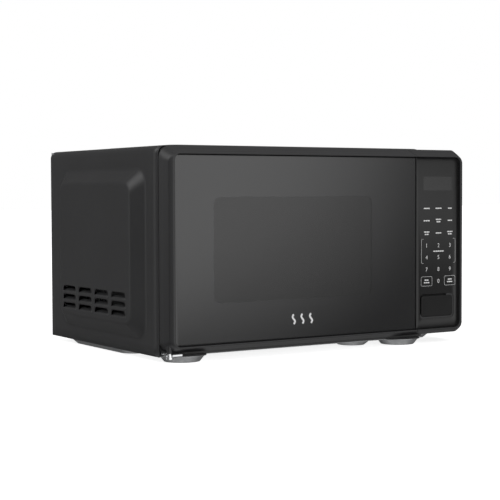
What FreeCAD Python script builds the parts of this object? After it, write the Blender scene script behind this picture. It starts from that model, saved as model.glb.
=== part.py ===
import FreeCAD, Part
import math
import os
import re
import Sketcher
from FreeCAD import Placement, Rotation, Vector

"""A compact countertop microwave oven, built as an assembly of separate pieces.

Millimetres. The origin is the middle of the footprint on the table, +X is to the right
of someone who faces the door, +Y runs to the rear and +Z is up.
"""

# Driving dimensions: alias, value in millimetres or degrees, what it is.
SIZES = [
    ("front_width", 440, "width of the door and control panel together"),
    ("front_top", 247, "top edge of the front above the table"),
    ("whole_depth", 316, "front lip to the rear screw heads"),
    ("belly_height", 7.1, "lower edge of the cabinet above the table"),
    ("front_thick", 20.7, "front lip to the cabinet's front edge"),
    ("sheet_gauge", 0.8, "sheet steel"),
    ("door_gap", 0.7, "door's rear face to the front plate"),
    ("seam_x", 139.5, "middle of the seam between door and control panel"),
    ("seam_gap", 0.6, "width of that seam"),
    ("front_bottom", 12, "lower edge of the front above the table"),
    ("glass_recess", 4, "glass face behind the front lip"),
    ("glass_left", 209.6, "half width of the recess for the glass and the overlay"),
    ("glass_low", 19.5, "lower edge of that recess"),
    ("glass_high", 237.1, "upper edge of that recess"),
    ("glass_corner", 7.5, "corner radius of that recess"),
    ("glass_thick", 3, "front glass"),
    ("play", 0.3, "free gap between pieces that move past each other"),
    ("running_play", 0.05, "radial clearance of a shaft in its bore"),
    ("wrap_bend", 9, "bend radius of the cabinet's top edges"),
    ("rear_lip", 1.8, "screw heads behind the cabinet's rear edge"),
    ("emboss_rise", 12.4, "side panels stand out of the cabinet by this much"),
    ("emboss_front", 106.5, "front edge of a side panel, ahead of the middle"),
    ("emboss_rear", 118.3, "rear edge of a side panel, behind the middle"),
    ("emboss_low", 25, "lower edge of a side panel"),
    ("emboss_high", 220.6, "upper edge of a side panel"),
    ("emboss_slope", 16.5, "width of a side panel's sloped border, front and rear"),
    ("emboss_fall", 15.5, "width of a side panel's sloped border, top and bottom"),
    ("crown_rise", 2.2, "raised field of the cabinet's top"),
    ("louvre_length", 36.8, "length of a louvre slot"),
    ("louvre_tall", 7.2, "height of a louvre slot"),
    ("louvre_pitch", 44.9, "spacing of the louvre columns"),
    ("louvre_step", 10.7, "spacing of the louvre rows"),
    ("louvre_rear", 74.4, "middle of the rearmost louvre column"),
    ("louvre_low", 52.2, "middle of the lowest louvre row"),
    ("cavity_left", 196, "left wall of the cavity, from the middle"),
    ("cavity_right", 110, "right wall of the cavity, from the middle"),
    ("cavity_floor", 32, "top face of the cavity floor"),
    ("cavity_top", 224, "ceiling of the cavity"),
    ("cavity_rear", 134, "rear wall of the cavity"),
    ("tray_x", -43, "turntable axis"),
    ("tray_y", -1, "turntable axis"),
    ("tray_radius", 122.5, "outer radius of the glass turntable"),
    ("tray_glass", 3.8, "thickness of the glass turntable"),
    ("wheel_radius", 7.5, "roller wheel"),
    ("wheel_reach", 97.5, "turntable axis to the middle of a wheel"),
    ("wheel_wide", 6, "width of a roller wheel"),
    ("axle_radius", 2, "axle of a roller wheel"),
    ("ring_radius", 88, "inner radius of the roller ring"),
    ("coupler_radius", 8, "hub of the turntable coupler"),
    ("stem_radius", 3.5, "drive stem of the coupler"),
    ("hinge_x", -213, "door hinge axis"),
    ("hinge_y", -149, "door hinge axis"),
    ("pin_radius", 2.5, "door hinge pins"),
    ("arm_thick", 2, "hinge arms"),
    ("hook_x", 123, "middle of the latch hooks"),
    ("hook_wide", 8, "width of the latch hooks"),
    ("hook_upper", 190, "middle of the upper hook"),
    ("hook_lower", 72, "middle of the lower hook"),
    ("button_x", 174.2, "middle of the door release button"),
    ("button_z", 47.8, "middle of the door release button"),
    ("button_wide", 53.4, "width of the door release button"),
    ("button_tall", 28.7, "height of the door release button"),
    ("button_corner", 4, "corner radius of the button"),
    ("display_x", 175, "middle of the display"),
    ("display_z", 203.8, "middle of the display"),
    ("lever_y", -131, "axis of the release lever"),
    ("lever_z", 57, "axis of the release lever"),
    ("lever_shaft", 3, "radius of the release lever's shaft"),
    ("fan_x", 165, "fan axis"),
    ("fan_z", 150, "fan axis"),
    ("fan_radius", 40, "tip radius of the fan"),
    ("fan_blades", 5, "number of fan blades"),
    ("foot_radius", 21, "flat under a pressed foot"),
    ("gland_radius", 7, "barrel of the cord gland"),
]

# Places worked out from the driving dimensions.
PLACES = {
    "half_width": "front_width / 2",
    "lip_y": "-whole_depth / 2",
    "seam_y": "lip_y + front_thick",
    "door_back": "seam_y - door_gap",
    "glass_y": "lip_y + glass_recess",
    "glass_back": "glass_y + glass_thick",
    "plate_back": "seam_y + sheet_gauge",
    "rear_y": "whole_depth / 2 - rear_lip",
    "rear_panel_y": "rear_y - 2 * sheet_gauge",
    "door_right": "seam_x - seam_gap / 2",
    "panel_left": "seam_x + seam_gap / 2",
    "base_top": "belly_height + sheet_gauge",
    "wheel_z": "cavity_floor + play + wheel_radius",
    "tray_z": "wheel_z + wheel_radius + play",
    "hook_left": "hook_x - hook_wide / 2",
    "hook_right": "hook_x + hook_wide / 2",
    "emboss_x": "half_width + emboss_rise",
}

UPPER_ARM = "front_top - 19"
LOWER_ARM = "front_bottom - 3.4"

SHEET_VALUES = {alias: value for alias, value, _ in SIZES}
NAMES = re.compile(r"[a-z_]+[a-z0-9_]*")
TURN = {
    "x": Rotation(Vector(0, 1, 0), 90),
    "y": Rotation(Vector(1, 0, 0), -90),
    "z": Rotation(),
}
ORIGIN_PLANE = {"x": "YZ_Plane", "y": "XZ_Plane", "z": "XY_Plane"}

doc = FreeCAD.newDocument("microwave_oven")
pieces = {}


# ---------------------------------------------------------------- document helpers

def make_sheet():
    """The spreadsheet that holds every driving dimension."""
    sheet = doc.addObject("Spreadsheet::Sheet", "sizes")
    for row, (alias, value, note) in enumerate(SIZES, start=1):
        sheet.set(f"A{row}", alias)
        sheet.set(f"B{row}", str(value))
        sheet.set(f"C{row}", note)
        sheet.setAlias(f"B{row}", alias)
    doc.recompute()


def expand(text):
    """A formula in the sheet's words, as an expression of the document."""
    def swap(match):
        word = match.group(0)
        if word in PLACES:
            return "(" + expand(PLACES[word]) + ")"
        if word in SHEET_VALUES:
            return "sizes." + word
        return word
    return NAMES.sub(swap, str(text))


def bind(item, prop, formula):
    """Tie one property to the sheet."""
    item.setExpression(prop, expand(formula))


def place_at(item, x, y, z):
    """Tie an object's position to the sheet."""
    for axis, formula in zip("xyz", (x, y, z)):
        bind(item, "Placement.Base." + axis, formula)


def box(name, x, y, z):
    """A box between a low and a high place along each axis."""
    item = doc.addObject("Part::Box", name)
    for prop, (low, high) in zip(("Length", "Width", "Height"), (x, y, z)):
        bind(item, prop, f"({high}) - ({low})")
    place_at(item, x[0], y[0], z[0])
    return item


def rod(name, axis, start, length, radius):
    """A cylinder that runs from start along +axis."""
    item = doc.addObject("Part::Cylinder", name)
    item.Placement = Placement(Vector(), TURN[axis])
    bind(item, "Radius", radius)
    bind(item, "Height", length)
    place_at(item, *start)
    return item


def cone(name, axis, start, length, radius_start, radius_end):
    """A cone that runs from start along +axis."""
    item = doc.addObject("Part::Cone", name)
    item.Placement = Placement(Vector(), TURN[axis])
    bind(item, "Radius1", radius_start)
    bind(item, "Radius2", radius_end)
    bind(item, "Height", length)
    place_at(item, *start)
    return item


def fuse(name, *items):
    """Several solids joined into one."""
    item = doc.addObject("Part::MultiFuse", name)
    item.Shapes = list(items)
    item.Refine = True
    return item


def cut(name, base, *tools):
    """One solid with others taken out of it."""
    item = doc.addObject("Part::Cut", name)
    item.Base = base
    item.Tool = tools[0] if len(tools) == 1 else fuse(name + "_tools", *tools)
    item.Refine = True
    return item


def group(name, *items):
    """Separate solids that share one node."""
    item = doc.addObject("Part::Compound", name)
    item.Links = list(items)
    return item


def own_plane(body, axis):
    """The origin plane of a body that faces along an axis."""
    role = ORIGIN_PLANE[axis]
    return [feature for feature in body.Origin.OriginFeatures if feature.Role == role][0]


def rounded_sketch(body, name, axis, width, height, corner):
    """A rounded rectangle about the body's origin, facing along an axis."""
    sketch = body.newObject("Sketcher::SketchObject", name)
    sketch.AttachmentSupport = [(own_plane(body, axis), "")]
    sketch.MapMode = "FlatFace"
    half_w, half_h, radius = 30.0, 20.0, 5.0
    in_w, in_h = half_w - radius, half_h - radius
    sides = [((-in_w, -half_h), (in_w, -half_h)), ((half_w, -in_h), (half_w, in_h)),
             ((in_w, half_h), (-in_w, half_h)), ((-half_w, in_h), (-half_w, -in_h))]
    for start, end in sides:
        sketch.addGeometry(Part.LineSegment(Vector(*start), Vector(*end)), False)
    centres = [(in_w, -in_h), (in_w, in_h), (-in_w, in_h), (-in_w, -in_h)]
    for turn, middle in enumerate(centres):
        circle = Part.Circle(Vector(*middle), Vector(0, 0, 1), radius)
        start = math.radians(90 * (turn - 1))
        sketch.addGeometry(Part.ArcOfCircle(circle, start, start + math.pi / 2), False)
    rule = Sketcher.Constraint
    for side in range(4):
        sketch.addConstraint(rule("Tangent", side, 2, 4 + side, 1))
        sketch.addConstraint(rule("Tangent", 4 + side, 2, (side + 1) % 4, 1))
        kind = "Vertical" if side % 2 else "Horizontal"
        sketch.addConstraint(rule(kind, side))
    for arc in (5, 6, 7):
        sketch.addConstraint(rule("Equal", 4, arc))
    sketch.addConstraint(rule("Symmetric", 4, 3, 6, 3, -1, 1))
    sizes = [("flat_width", rule("DistanceX", 7, 3, 4, 3, 2 * in_w), f"({width}) - 2 * ({corner})"),
             ("flat_height", rule("DistanceY", 4, 3, 5, 3, 2 * in_h), f"({height}) - 2 * ({corner})"),
             ("corner_radius", rule("Radius", 4, radius), corner)]
    for label, constraint, formula in sizes:
        sketch.renameConstraint(sketch.addConstraint(constraint), label)
        bind(sketch, "Constraints." + label, formula)
    return sketch


def rounded_block(name, axis, spans, corner):
    """A block with rounded corners seen along an axis, between low and high places."""
    body = doc.addObject("PartDesign::Body", name)
    place_at(body, *[f"(({low}) + ({high})) / 2" for low, high in spans])
    lengths = dict(zip("xyz", [f"({high}) - ({low})" for low, high in spans]))
    across = [lengths[other] for other in "xyz" if other != axis]
    sketch = rounded_sketch(body, name + "_outline", axis, across[0], across[1], corner)
    pad = body.newObject("PartDesign::Pad", name + "_pad")
    pad.Profile = sketch
    pad.SideType = "Symmetric"
    bind(pad, "Length", lengths[axis])
    body.Tip = pad
    return body


def lofted_block(name, axis, sections):
    """A ruled loft through rounded rectangles: (place along axis, spans across, corner)."""
    body = doc.addObject("PartDesign::Body", name)
    flip = {"x": 1, "y": -1, "z": 1}[axis]
    outlines = []
    for index, (along, spans, corner) in enumerate(sections):
        wide, tall = [f"({high}) - ({low})" for low, high in spans]
        sketch = rounded_sketch(body, f"{name}_section_{index}", axis, wide, tall, corner)
        middles = [f"(({low}) + ({high})) / 2" for low, high in spans]
        bind(sketch, "AttachmentOffset.Base.x", middles[0])
        bind(sketch, "AttachmentOffset.Base.y", middles[1])
        bind(sketch, "AttachmentOffset.Base.z", f"{flip} * ({along})")
        outlines.append(sketch)
    loft = body.newObject("PartDesign::AdditiveLoft", name + "_loft")
    loft.Profile = outlines[0]
    loft.Sections = outlines[1:]
    loft.Ruled = True
    body.Tip = loft
    return body


def mirrored(name, source):
    """The source mirrored to the other side of the object."""
    item = doc.addObject("Part::Mirroring", name)
    item.Source = source
    item.Normal = Vector(1, 0, 0)
    return item


def keep(name, item):
    """Name a finished piece: its label is its node."""
    item.Label = name
    pieces[name] = item
    return item


# ---------------------------------------------------------------- front shells

def front_sections():
    """The front's outer form, from the cabinet's edge to the lip."""
    return [
        ("door_back", [("-half_width", "half_width"), ("front_bottom", "front_top")], "14"),
        ("seam_y - 8.7", [("-half_width + 1.4", "half_width - 1.4"),
                          ("front_bottom", "front_top - 4.3")], "13.4"),
        ("lip_y + 3.5", [("-half_width + 4", "half_width - 4"),
                         ("front_bottom + 4.2", "front_top - 8")], "11.5"),
        ("lip_y", [("-half_width + 8.2", "half_width - 8.2"),
                   ("front_bottom + 5.6", "front_top - 8.9")], "8.6"),
    ]


def glass_seat(name, back):
    """The recess that the glass and the overlay lie in."""
    return rounded_block(name, "y", [("-glass_left", "glass_left"), ("lip_y - 1", back),
                                     ("glass_low", "glass_high")], "glass_corner")


def make_door_frame():
    """Moulded frame around the door, with its hinge bores."""
    shell = lofted_block("door_shell", "y", front_sections())
    right = box("door_frame_right", ("door_right", "half_width + 1"), ("lip_y - 1", "seam_y"),
                ("0", "front_top + 1"))
    opening = rounded_block("door_frame_opening", "y",
                            [("-190", "112"), ("lip_y", "seam_y"), ("38", "219")], "12")
    hollow = rounded_block("door_frame_hollow", "y",
                           [("-half_width + 5.6", "door_right - 3"), ("glass_back + 1.6", "seam_y"),
                            ("front_bottom + 6.6", "front_top - 12.6")], "8")
    boss = fuse("door_frame_bosses",
                rod("door_boss_low", "z", ("hinge_x", "hinge_y", "front_bottom"), "14", "5"),
                rod("door_boss_high", "z", ("hinge_x", "hinge_y", "front_top - 30"), "16", "5"))
    body = cut("door_frame_body", shell, right, glass_seat("door_glass_seat", "glass_back"),
               opening, hollow)
    lower_bore = rod("door_bore_low", "z", ("hinge_x", "hinge_y", "front_bottom - 1"), "12",
                     "pin_radius + running_play")
    upper_bore = rod("door_bore_high", "z", ("hinge_x", "hinge_y", "front_top - 30"), "17",
                     "pin_radius + running_play")
    arm_slot = box("door_arm_slot", ("-half_width - 1", "hinge_x + 9"),
                   ("hinge_y - 7", "seam_y"), (UPPER_ARM + " - 0.5", UPPER_ARM + " + arm_thick + 0.5"))
    corner = doc.addObject("Part::Box", "door_corner_relief")
    corner.Placement.Rotation = Rotation(Vector(0, 0, 1), -30)
    bind(corner, "Length", "12")
    bind(corner, "Width", "8")
    bind(corner, "Height", "front_top + 2")
    place_at(corner, "-half_width - 3.6", "door_back - 0.4", "0")
    with_bosses = fuse("door_frame_bossed", body, boss)
    cap = glass_seat("door_boss_trim", "glass_back")
    return keep("door_frame", cut("door_frame_solid", with_bosses, lower_bore, upper_bore,
                                  arm_slot, corner, cap))


def make_door_glass():
    """Front glass over the whole door."""
    whole = rounded_block("door_glass_blank", "y",
                          [("-glass_left + play", "glass_left - play"), ("glass_y", "glass_back - 0.1"),
                           ("glass_low + play", "glass_high - play")], "glass_corner - play")
    right = box("door_glass_right", ("door_right - 0.4", "half_width"), ("lip_y", "seam_y"),
                ("0", "front_top"))
    return keep("door_glass", cut("door_glass_solid", whole, right))


def make_choke():
    """Steel tray that holds the screen and the folded choke channel."""
    tray = rounded_block("choke_tray", "y", [("-205.8", "134.6"), ("-148.8", "-139.8")
                                             , ("20.6", "232.4")], "5")
    channel = rounded_block("choke_channel", "y", [("-205", "133.8"), ("-148", "-139")
                                                   , ("21.4", "231.6")], "4.2")
    field = rounded_block("choke_field", "y", [("-177.5", "91.5"), ("-149", "-141")
                                               , ("44", "213.5")], "9")
    field_hollow = rounded_block("choke_field_hollow", "y", [("-176.7", "90.7"), ("-150", "-141.8")
                                                             , ("44.8", "212.7")], "8.2")
    skirt = cut("choke_walls", tray, channel)
    raised = cut("choke_raised", fuse("choke_joined", skirt, field), field_hollow)
    return keep("door_choke", raised)


def hook_slots(name, y_low, y_high):
    """Openings that the two latch hooks pass through."""
    return [box(f"{name}_{level}", ("hook_left - 1.4", "hook_right + 2.6"), (y_low, y_high),
                (f"{level} - 12.5", f"{level} + 10.5")) for level in ("hook_upper", "hook_lower")]


def make_choke_cover():
    """Black cover over the choke channel."""
    ring = rounded_block("choke_cover_blank", "y", [("-204.6", "133.4"), ("-139.5", "-138")
                                                    , ("21.8", "231.2")], "5")
    opening = rounded_block("choke_cover_opening", "y", [("-173", "87"), ("-141", "-137")
                                                         , ("48.5", "209")], "8")
    return keep("choke_cover", cut("choke_cover_solid", ring, opening,
                                   *hook_slots("choke_cover_slot", "-141", "-137")))


def make_inner_film():
    """Clear film over the screen, on the cavity side."""
    return keep("inner_film", rounded_block("inner_film_blank", "y",
                [("-172.4", "86.4"), ("-140.6", "-140"), ("49.1", "208.4")], "7.5"))


def make_latch_hook():
    """Sliding bar with the two hooks that hold the door shut."""
    solids = [box("hook_bar", ("hook_left", "hook_right"), ("-146.6", "-141.4"),
                  ("hook_lower - 12", "hook_upper + 12"))]
    for level in ("hook_upper", "hook_lower"):
        solids.append(box(f"hook_arm_{level}", ("hook_left", "hook_right"), ("-142", "-119"),
                          (f"{level} - 5", f"{level} + 5")))
        solids.append(box(f"hook_barb_{level}", ("hook_left", "hook_right"), ("-124", "-119"),
                          (f"{level} - 10", f"{level} - 4")))
    return keep("latch_hook", fuse("latch_hook_solid", *solids))


def tube(name, axis, start, length, outer, inner):
    """A plain tube, such as the outer form of a coil spring."""
    return cut(name, rod(name + "_outer", axis, start, length, outer),
               rod(name + "_inner", axis, start, length, inner))


def make_latch_spring():
    """Spring that pulls the hooks down."""
    return keep("latch_spring", tube("latch_spring_coil", "z", ("hook_x", "-144", "hook_upper + 12.2"),
                                     "20", "2.4", "1.8"))


def make_control_frame():
    """Moulded frame of the control panel, right of the door."""
    shell = lofted_block("panel_shell", "y", front_sections())
    left = box("panel_left_trim", ("-half_width - 1", "panel_left"), ("lip_y - 1", "seam_y"),
               ("0", "front_top + 1"))
    seat = glass_seat("panel_seat", "glass_y + 1.2")
    hollow = rounded_block("panel_hollow", "y",
                           [("panel_left + 2.5", "half_width - 6.5"), ("glass_y + 3.4", "seam_y + 1"),
                            ("front_bottom + 7", "front_top - 13")], "6")
    button_hole = rounded_block("panel_button_hole", "y",
                                [("button_x - button_wide / 2 - 1", "button_x + button_wide / 2 + 1"),
                                 ("lip_y", "seam_y"),
                                 ("button_z - button_tall / 2 - 1", "button_z + button_tall / 2 + 1")],
                                "button_corner + 1")
    display_hole = box("panel_display_hole", ("display_x - 25.4", "display_x + 25.4"),
                       ("lip_y", "seam_y"), ("display_z - 10.4", "display_z + 10.4"))
    body = cut("panel_body", shell, left, seat, hollow, button_hole, display_hole)
    web = box("panel_web", ("146.5", "209.5"), ("-131", "-129.2"), ("29", "42.5"))
    legs = [box(f"panel_leg_{index}", (low, high), ("glass_y + 3", "-129.2"), ("29", top))
            for index, (low, high, top) in enumerate((("143.2", "145", "50"), ("211", "212.8", "66")))]
    bridges = [box("panel_bridge_left", ("143.2", "147"), ("-131", "-129.2"), ("29", "50")),
               box("panel_bridge_right", ("163.4", "212.8"), ("-131", "-129.2"), ("29", "66"))]
    return keep("control_panel_frame", fuse("panel_solid", body, web, *legs, *bridges))


def make_overlay():
    """Printed front sheet of the control panel."""
    whole = rounded_block("overlay_blank", "y",
                          [("-glass_left + play", "glass_left - play"), ("glass_y - 0.2", "glass_y + 0.5"),
                           ("glass_low + play", "glass_high - play")], "glass_corner - play")
    left = box("overlay_left", ("-half_width", "panel_left + 0.4"), ("lip_y", "seam_y"),
               ("0", "front_top"))
    hole = rounded_block("overlay_button_hole", "y",
                         [("button_x - button_wide / 2 - 1", "button_x + button_wide / 2 + 1"),
                          ("lip_y", "seam_y"),
                          ("button_z - button_tall / 2 - 1", "button_z + button_tall / 2 + 1")],
                         "button_corner + 1")
    return keep("control_overlay", cut("overlay_solid", whole, left, hole))


def make_key_membrane():
    """Switch foil behind the printed keys."""
    return keep("key_membrane", box("key_membrane_foil", ("143", "207"),
                                    ("glass_y + 0.6", "glass_y + 1.1"), ("70", "180")))


def make_display():
    """Four-digit display block on its pins."""
    block = box("display_block", ("display_x - 25", "display_x + 25"), ("-150", "-142"),
                ("display_z - 10", "display_z + 10"))
    pins = [box(f"display_pin_{index}", (f"display_x - 20.4 + 8 * {index}", f"display_x - 19.6 + 8 * {index}"),
                ("-143", "-133.1"), (f"display_z {side} 8.4 - 0.4", f"display_z {side} 8.4 + 0.4"))
            for side in "+-" for index in range(6)]
    return keep("display_module", fuse("display_solid", block, *pins))


def make_control_board():
    """Circuit board with its relays, transformer and buzzer."""
    board = box("control_board_sheet", ("149", "207"), ("-133", "-131.4"), ("72", "222"))
    relays = [box(f"relay_{index}", ("153", "168"), ("-131.5", "-115"),
                  (f"80 + 24 * {index}", f"100 + 24 * {index}")) for index in range(3)]
    supply = box("board_transformer", ("176", "203"), ("-131.5", "-107"), ("84", "114"))
    buzzer = rod("board_buzzer", "y", ("190", "-131.5", "140"), "9", "7")
    caps = [rod(f"board_capacitor_{index}", "y", (f"158 + 12 * {index}", "-131.5", "168"), "14", "4")
            for index in range(3)]
    header = box("board_header", ("156", "200"), ("-131.5", "-121"), ("212", "219"))
    return keep("control_board", fuse("control_board_solid", board, *relays, supply, buzzer,
                                      *caps, header))


def make_button():
    """Push button that opens the door, with its stem."""
    spans = [("button_x - button_wide / 2", "button_x + button_wide / 2"), ("lip_y + 3.6", "-143"),
             ("button_z - button_tall / 2", "button_z + button_tall / 2")]
    cap = rounded_block("button_cap", "y", spans, "button_corner")
    inner = rounded_block("button_hollow", "y",
                          [("button_x - button_wide / 2 + 2", "button_x + button_wide / 2 - 2"),
                           ("lip_y + 6.4", "-142"),
                           ("button_z - button_tall / 2 + 2", "button_z + button_tall / 2 - 2")],
                          "button_corner - 2")
    shell = cut("button_shell", cap, inner)
    stem = box("button_stem", ("151", "157"), ("lip_y + 6", "-136"), ("43.4", "50"))
    nose = box("button_nose", ("151", "157"), ("-136.5", "-133.1"), ("44.6", "46.6"))
    return keep("release_button", fuse("button_solid", shell, stem, nose))


def make_button_spring():
    """Spring that pushes the button back out."""
    return keep("button_spring", tube("button_spring_coil", "y", ("186", "lip_y + 6.6", "button_z"),
                                      "20.2", "5", "4.2"))


# ---------------------------------------------------------------- latch behind the front

def make_latch_board():
    """Moulded carrier of the switches and the release lever."""
    back = box("latch_board_wall", ("114", "116.4"), ("plate_back + 0.2", "-86"), ("30", "216"))
    ledges = [box(f"latch_ledge_{level}", ("115", "122.4"), ("-130", "-125.2"),
                  (f"{level} - 18", f"{level} - 10.4")) for level in ("hook_upper", "hook_lower")]
    bar = box("latch_bar", ("115", "161"), ("-121", "-115"), ("46", "52"))
    ears = [box(f"latch_ear_{index}", (low, high), ("-135", "-115"), ("46", "62.5"))
            for index, (low, high) in enumerate((("129", "132"), ("158.4", "161.4")))]
    shelf = [box(f"switch_shelf_{index}", ("115", "127.5"), ("-116", "-99"),
                 (f"{place}", f"{place} + 1.6"))
             for index, place in enumerate(("hook_lower - 9.9", "hook_upper - 24.4"))]
    bore = rod("latch_bore", "x", ("128", "lever_y", "lever_z"), "35", "lever_shaft + running_play")
    return keep("latch_board", cut("latch_board_solid", fuse("latch_board_blank", back, *ledges, bar,
                                                             *ears, *shelf), bore))


def make_release_lever():
    """Lever that turns the button's push into the hooks' lift."""
    shaft = rod("lever_rod", "x", ("123.4", "lever_y", "lever_z"), "38.8", "lever_shaft")
    arm = box("lever_arm", ("151", "157"), ("lever_y - 1.5", "lever_y + 1.5"), ("lever_z - 13", "lever_z"))
    finger = box("lever_finger", ("123.4", "126.8"), ("lever_y", "lever_y + 10.2"),
                 ("lever_z - 1.5", "lever_z + 4.2"))
    return keep("release_lever", fuse("release_lever_solid", shaft, arm, finger))


def make_switch(name, level, low, plunger_z):
    """A microswitch body and, as its own piece, its plunger."""
    body = box(name + "_body", ("117.4", "127.4"), ("-116", "-100"), (low, f"{low} + 14"))
    bore = rod(name + "_bore", "y", ("hook_x", "-117", plunger_z), "6", "1.2 + running_play")
    tabs = [box(f"{name}_tab_{index}", ("121.5", "124.5"), ("-101", "-94"),
                (f"{low} + 1.6 + 4.6 * {index}", f"{low} + 2.2 + 4.6 * {index}")) for index in range(3)]
    keep(name, cut(name + "_solid", fuse(name + "_blank", body, *tabs), bore))
    stem = rod(name + "_stem", "y", ("hook_x", "-118.6", plunger_z), "6", "1.2")
    keep(name.replace("switch", "plunger"), stem)


def make_switches():
    """Interlock switches that the hooks press when the door is shut."""
    make_switch("primary_switch", "hook_upper", "hook_upper - 5.6", "hook_upper")
    make_switch("monitor_switch", "hook_upper", "hook_upper - 22.4", "hook_upper - 9")
    make_switch("secondary_switch", "hook_lower", "hook_lower - 7.8", "hook_lower")


# ---------------------------------------------------------------- hinges

def make_hinges():
    """Steel arms on the front plate, with the pins that the door turns on."""
    for name, z_low, pin_low, pin_high in (
            ("upper", UPPER_ARM, "front_top - 29", f"{UPPER_ARM} + arm_thick"),
            ("lower", LOWER_ARM, "front_bottom - 6", "front_bottom + 10")):
        arm = box(name + "_arm", ("hinge_x - 4", "hinge_x + 3.2"), ("hinge_y", "plate_back + 1"),
                  (z_low, f"({z_low}) + arm_thick"))
        nose = rod(name + "_nose", "z", ("hinge_x", "hinge_y", z_low), "arm_thick", "pin_radius + 1")
        if name == "lower":
            tongue = box("lower_tongue", ("hinge_x", "hinge_x + 16"), ("hinge_y - 1", "seam_y - 1"),
                         (z_low, f"({z_low}) + arm_thick"))
            nose = fuse("lower_nose_solid", nose, tongue)
        foot_low = f"({z_low}) - 22" if name == "upper" else z_low
        foot = box(name + "_foot", ("hinge_x - 4", "hinge_x + 14"), ("plate_back", "plate_back + arm_thick"),
                   (foot_low, f"({foot_low}) + 24"))
        hole = rod(name + "_arm_hole", "z", ("hinge_x", "hinge_y", f"({z_low}) - 3"), "8", "pin_radius")
        keep(name + "_hinge_arm", cut(name + "_arm_solid", fuse(name + "_arm_blank", arm, nose, foot), hole))
        pin = rod(name + "_pin_rod", "z", ("hinge_x", "hinge_y", pin_low), f"({pin_high}) - ({pin_low})",
                  "pin_radius")
        if name == "lower":
            head = rod("lower_pin_head", "z", ("hinge_x", "hinge_y", pin_low), "2.4", "4.6")
            pin = fuse("lower_pin_solid", pin, head)
        keep(name + "_hinge_pin", pin)


# ---------------------------------------------------------------- cabinet

def side_field(name, inset):
    """The raised field of the left side panel, drawn in by a wall thickness."""
    return lofted_block(name, "x", [
        ("-half_width + 3", [("-emboss_front + " + inset, "emboss_rear - " + inset),
                             ("emboss_low + " + inset, "emboss_high - " + inset)], "18"),
        ("-half_width + " + inset, [("-emboss_front + " + inset, "emboss_rear - " + inset),
                                    ("emboss_low + " + inset, "emboss_high - " + inset)], "18"),
        ("-emboss_x + " + inset, [("-emboss_front + emboss_slope + " + inset,
                                   "emboss_rear - emboss_slope - " + inset),
                                  ("emboss_low + emboss_fall + " + inset,
                                   "emboss_high - emboss_fall - " + inset)], "14"),
    ])


def make_louvres(name):
    """Slots with their tabs pressed inwards, low on the left side panel."""
    slots = []
    tabs = []
    for column in range(4):
        for row in range(3):
            middle_y = f"louvre_rear - louvre_pitch * {column}"
            middle_z = f"louvre_low + louvre_step * {row}"
            slots.append(box(f"{name}_slot_{column}_{row}", ("-emboss_x - 1", "-emboss_x + 2"),
                             (f"{middle_y} - louvre_length / 2", f"{middle_y} + louvre_length / 2"),
                             (f"{middle_z} - louvre_tall / 2", f"{middle_z} + louvre_tall / 2")))
            tab = doc.addObject("Part::Box", f"{name}_tab_{column}_{row}")
            tab.Placement.Rotation = Rotation(Vector(0, 1, 0), 32)
            bind(tab, "Length", "sheet_gauge")
            bind(tab, "Width", "louvre_length")
            bind(tab, "Height", "louvre_tall")
            place_at(tab, "-emboss_x + 0.05", f"{middle_y} - louvre_length / 2",
                     f"{middle_z} - louvre_tall / 2 - 0.1")
            tabs.append(tab)
    return slots, tabs


def make_cabinet():
    """Wrap of painted sheet: two sides and the top in one piece."""
    front, rear = "seam_y + 0.2", "rear_y"
    outer = rounded_block("cabinet_outer", "y", [("-half_width", "half_width"), (front, rear),
                                                 ("belly_height - 40", "front_top")], "wrap_bend")
    inner = rounded_block("cabinet_inner", "y",
                          [("-half_width + sheet_gauge", "half_width - sheet_gauge"),
                           ("seam_y - 1", "rear_y - sheet_gauge"),
                           ("belly_height - 60", "front_top - sheet_gauge")], "wrap_bend - sheet_gauge")
    below = box("cabinet_below", ("-half_width - 30", "half_width + 30"), ("seam_y - 2", "rear_y + 2"),
                ("-80", "belly_height"))
    rear_hole = box("cabinet_rear_hole", ("-half_width + 11", "half_width - 11"),
                    ("rear_y - 5", "rear_y + 5"), ("belly_height - 60", "front_top - 11"))
    crown = lofted_block("cabinet_crown", "z", [
        ("front_top - 4", [("-190", "190"), ("-112", "100")], "16"),
        ("front_top", [("-190", "190"), ("-112", "100")], "16"),
        ("front_top + crown_rise", [("-183", "183"), ("-105", "93")], "10")])
    crown_hollow = lofted_block("cabinet_crown_hollow", "z", [
        ("front_top - 6", [("-189.2", "189.2"), ("-111.2", "99.2")], "15.2"),
        ("front_top - 0.8", [("-189.2", "189.2"), ("-111.2", "99.2")], "15.2"),
        ("front_top + crown_rise - 0.8", [("-182.4", "182.4"), ("-104.4", "92.4")], "9.6")])
    left = side_field("cabinet_left", "0")
    left_hollow = side_field("cabinet_left_hollow", "sheet_gauge")
    slots, tabs = make_louvres("louvre")
    left_cut = fuse("cabinet_left_tools", left_hollow, *slots)
    left_tabs = fuse("cabinet_left_tabs", *tabs)
    solid = cut("cabinet_body", fuse("cabinet_blank", outer, crown, left, mirrored("cabinet_right", left)),
                inner, below, rear_hole, crown_hollow, left_cut, mirrored("cabinet_right_tools", left_cut),
                *rear_screw_holes("cabinet"))
    whole = fuse("cabinet_solid", solid, left_tabs, mirrored("cabinet_right_tabs", left_tabs))
    toe = doc.addObject("Part::Box", "cabinet_toe")
    toe.Placement.Rotation = Rotation(Vector(1, 0, 0), -6)
    bind(toe, "Length", "40")
    bind(toe, "Width", "60")
    bind(toe, "Height", "10")
    place_at(toe, "200", "seam_y - 1.7", "front_bottom - 9.8")
    return keep("outer_cabinet", cut("cabinet_trimmed", whole, toe))


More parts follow.
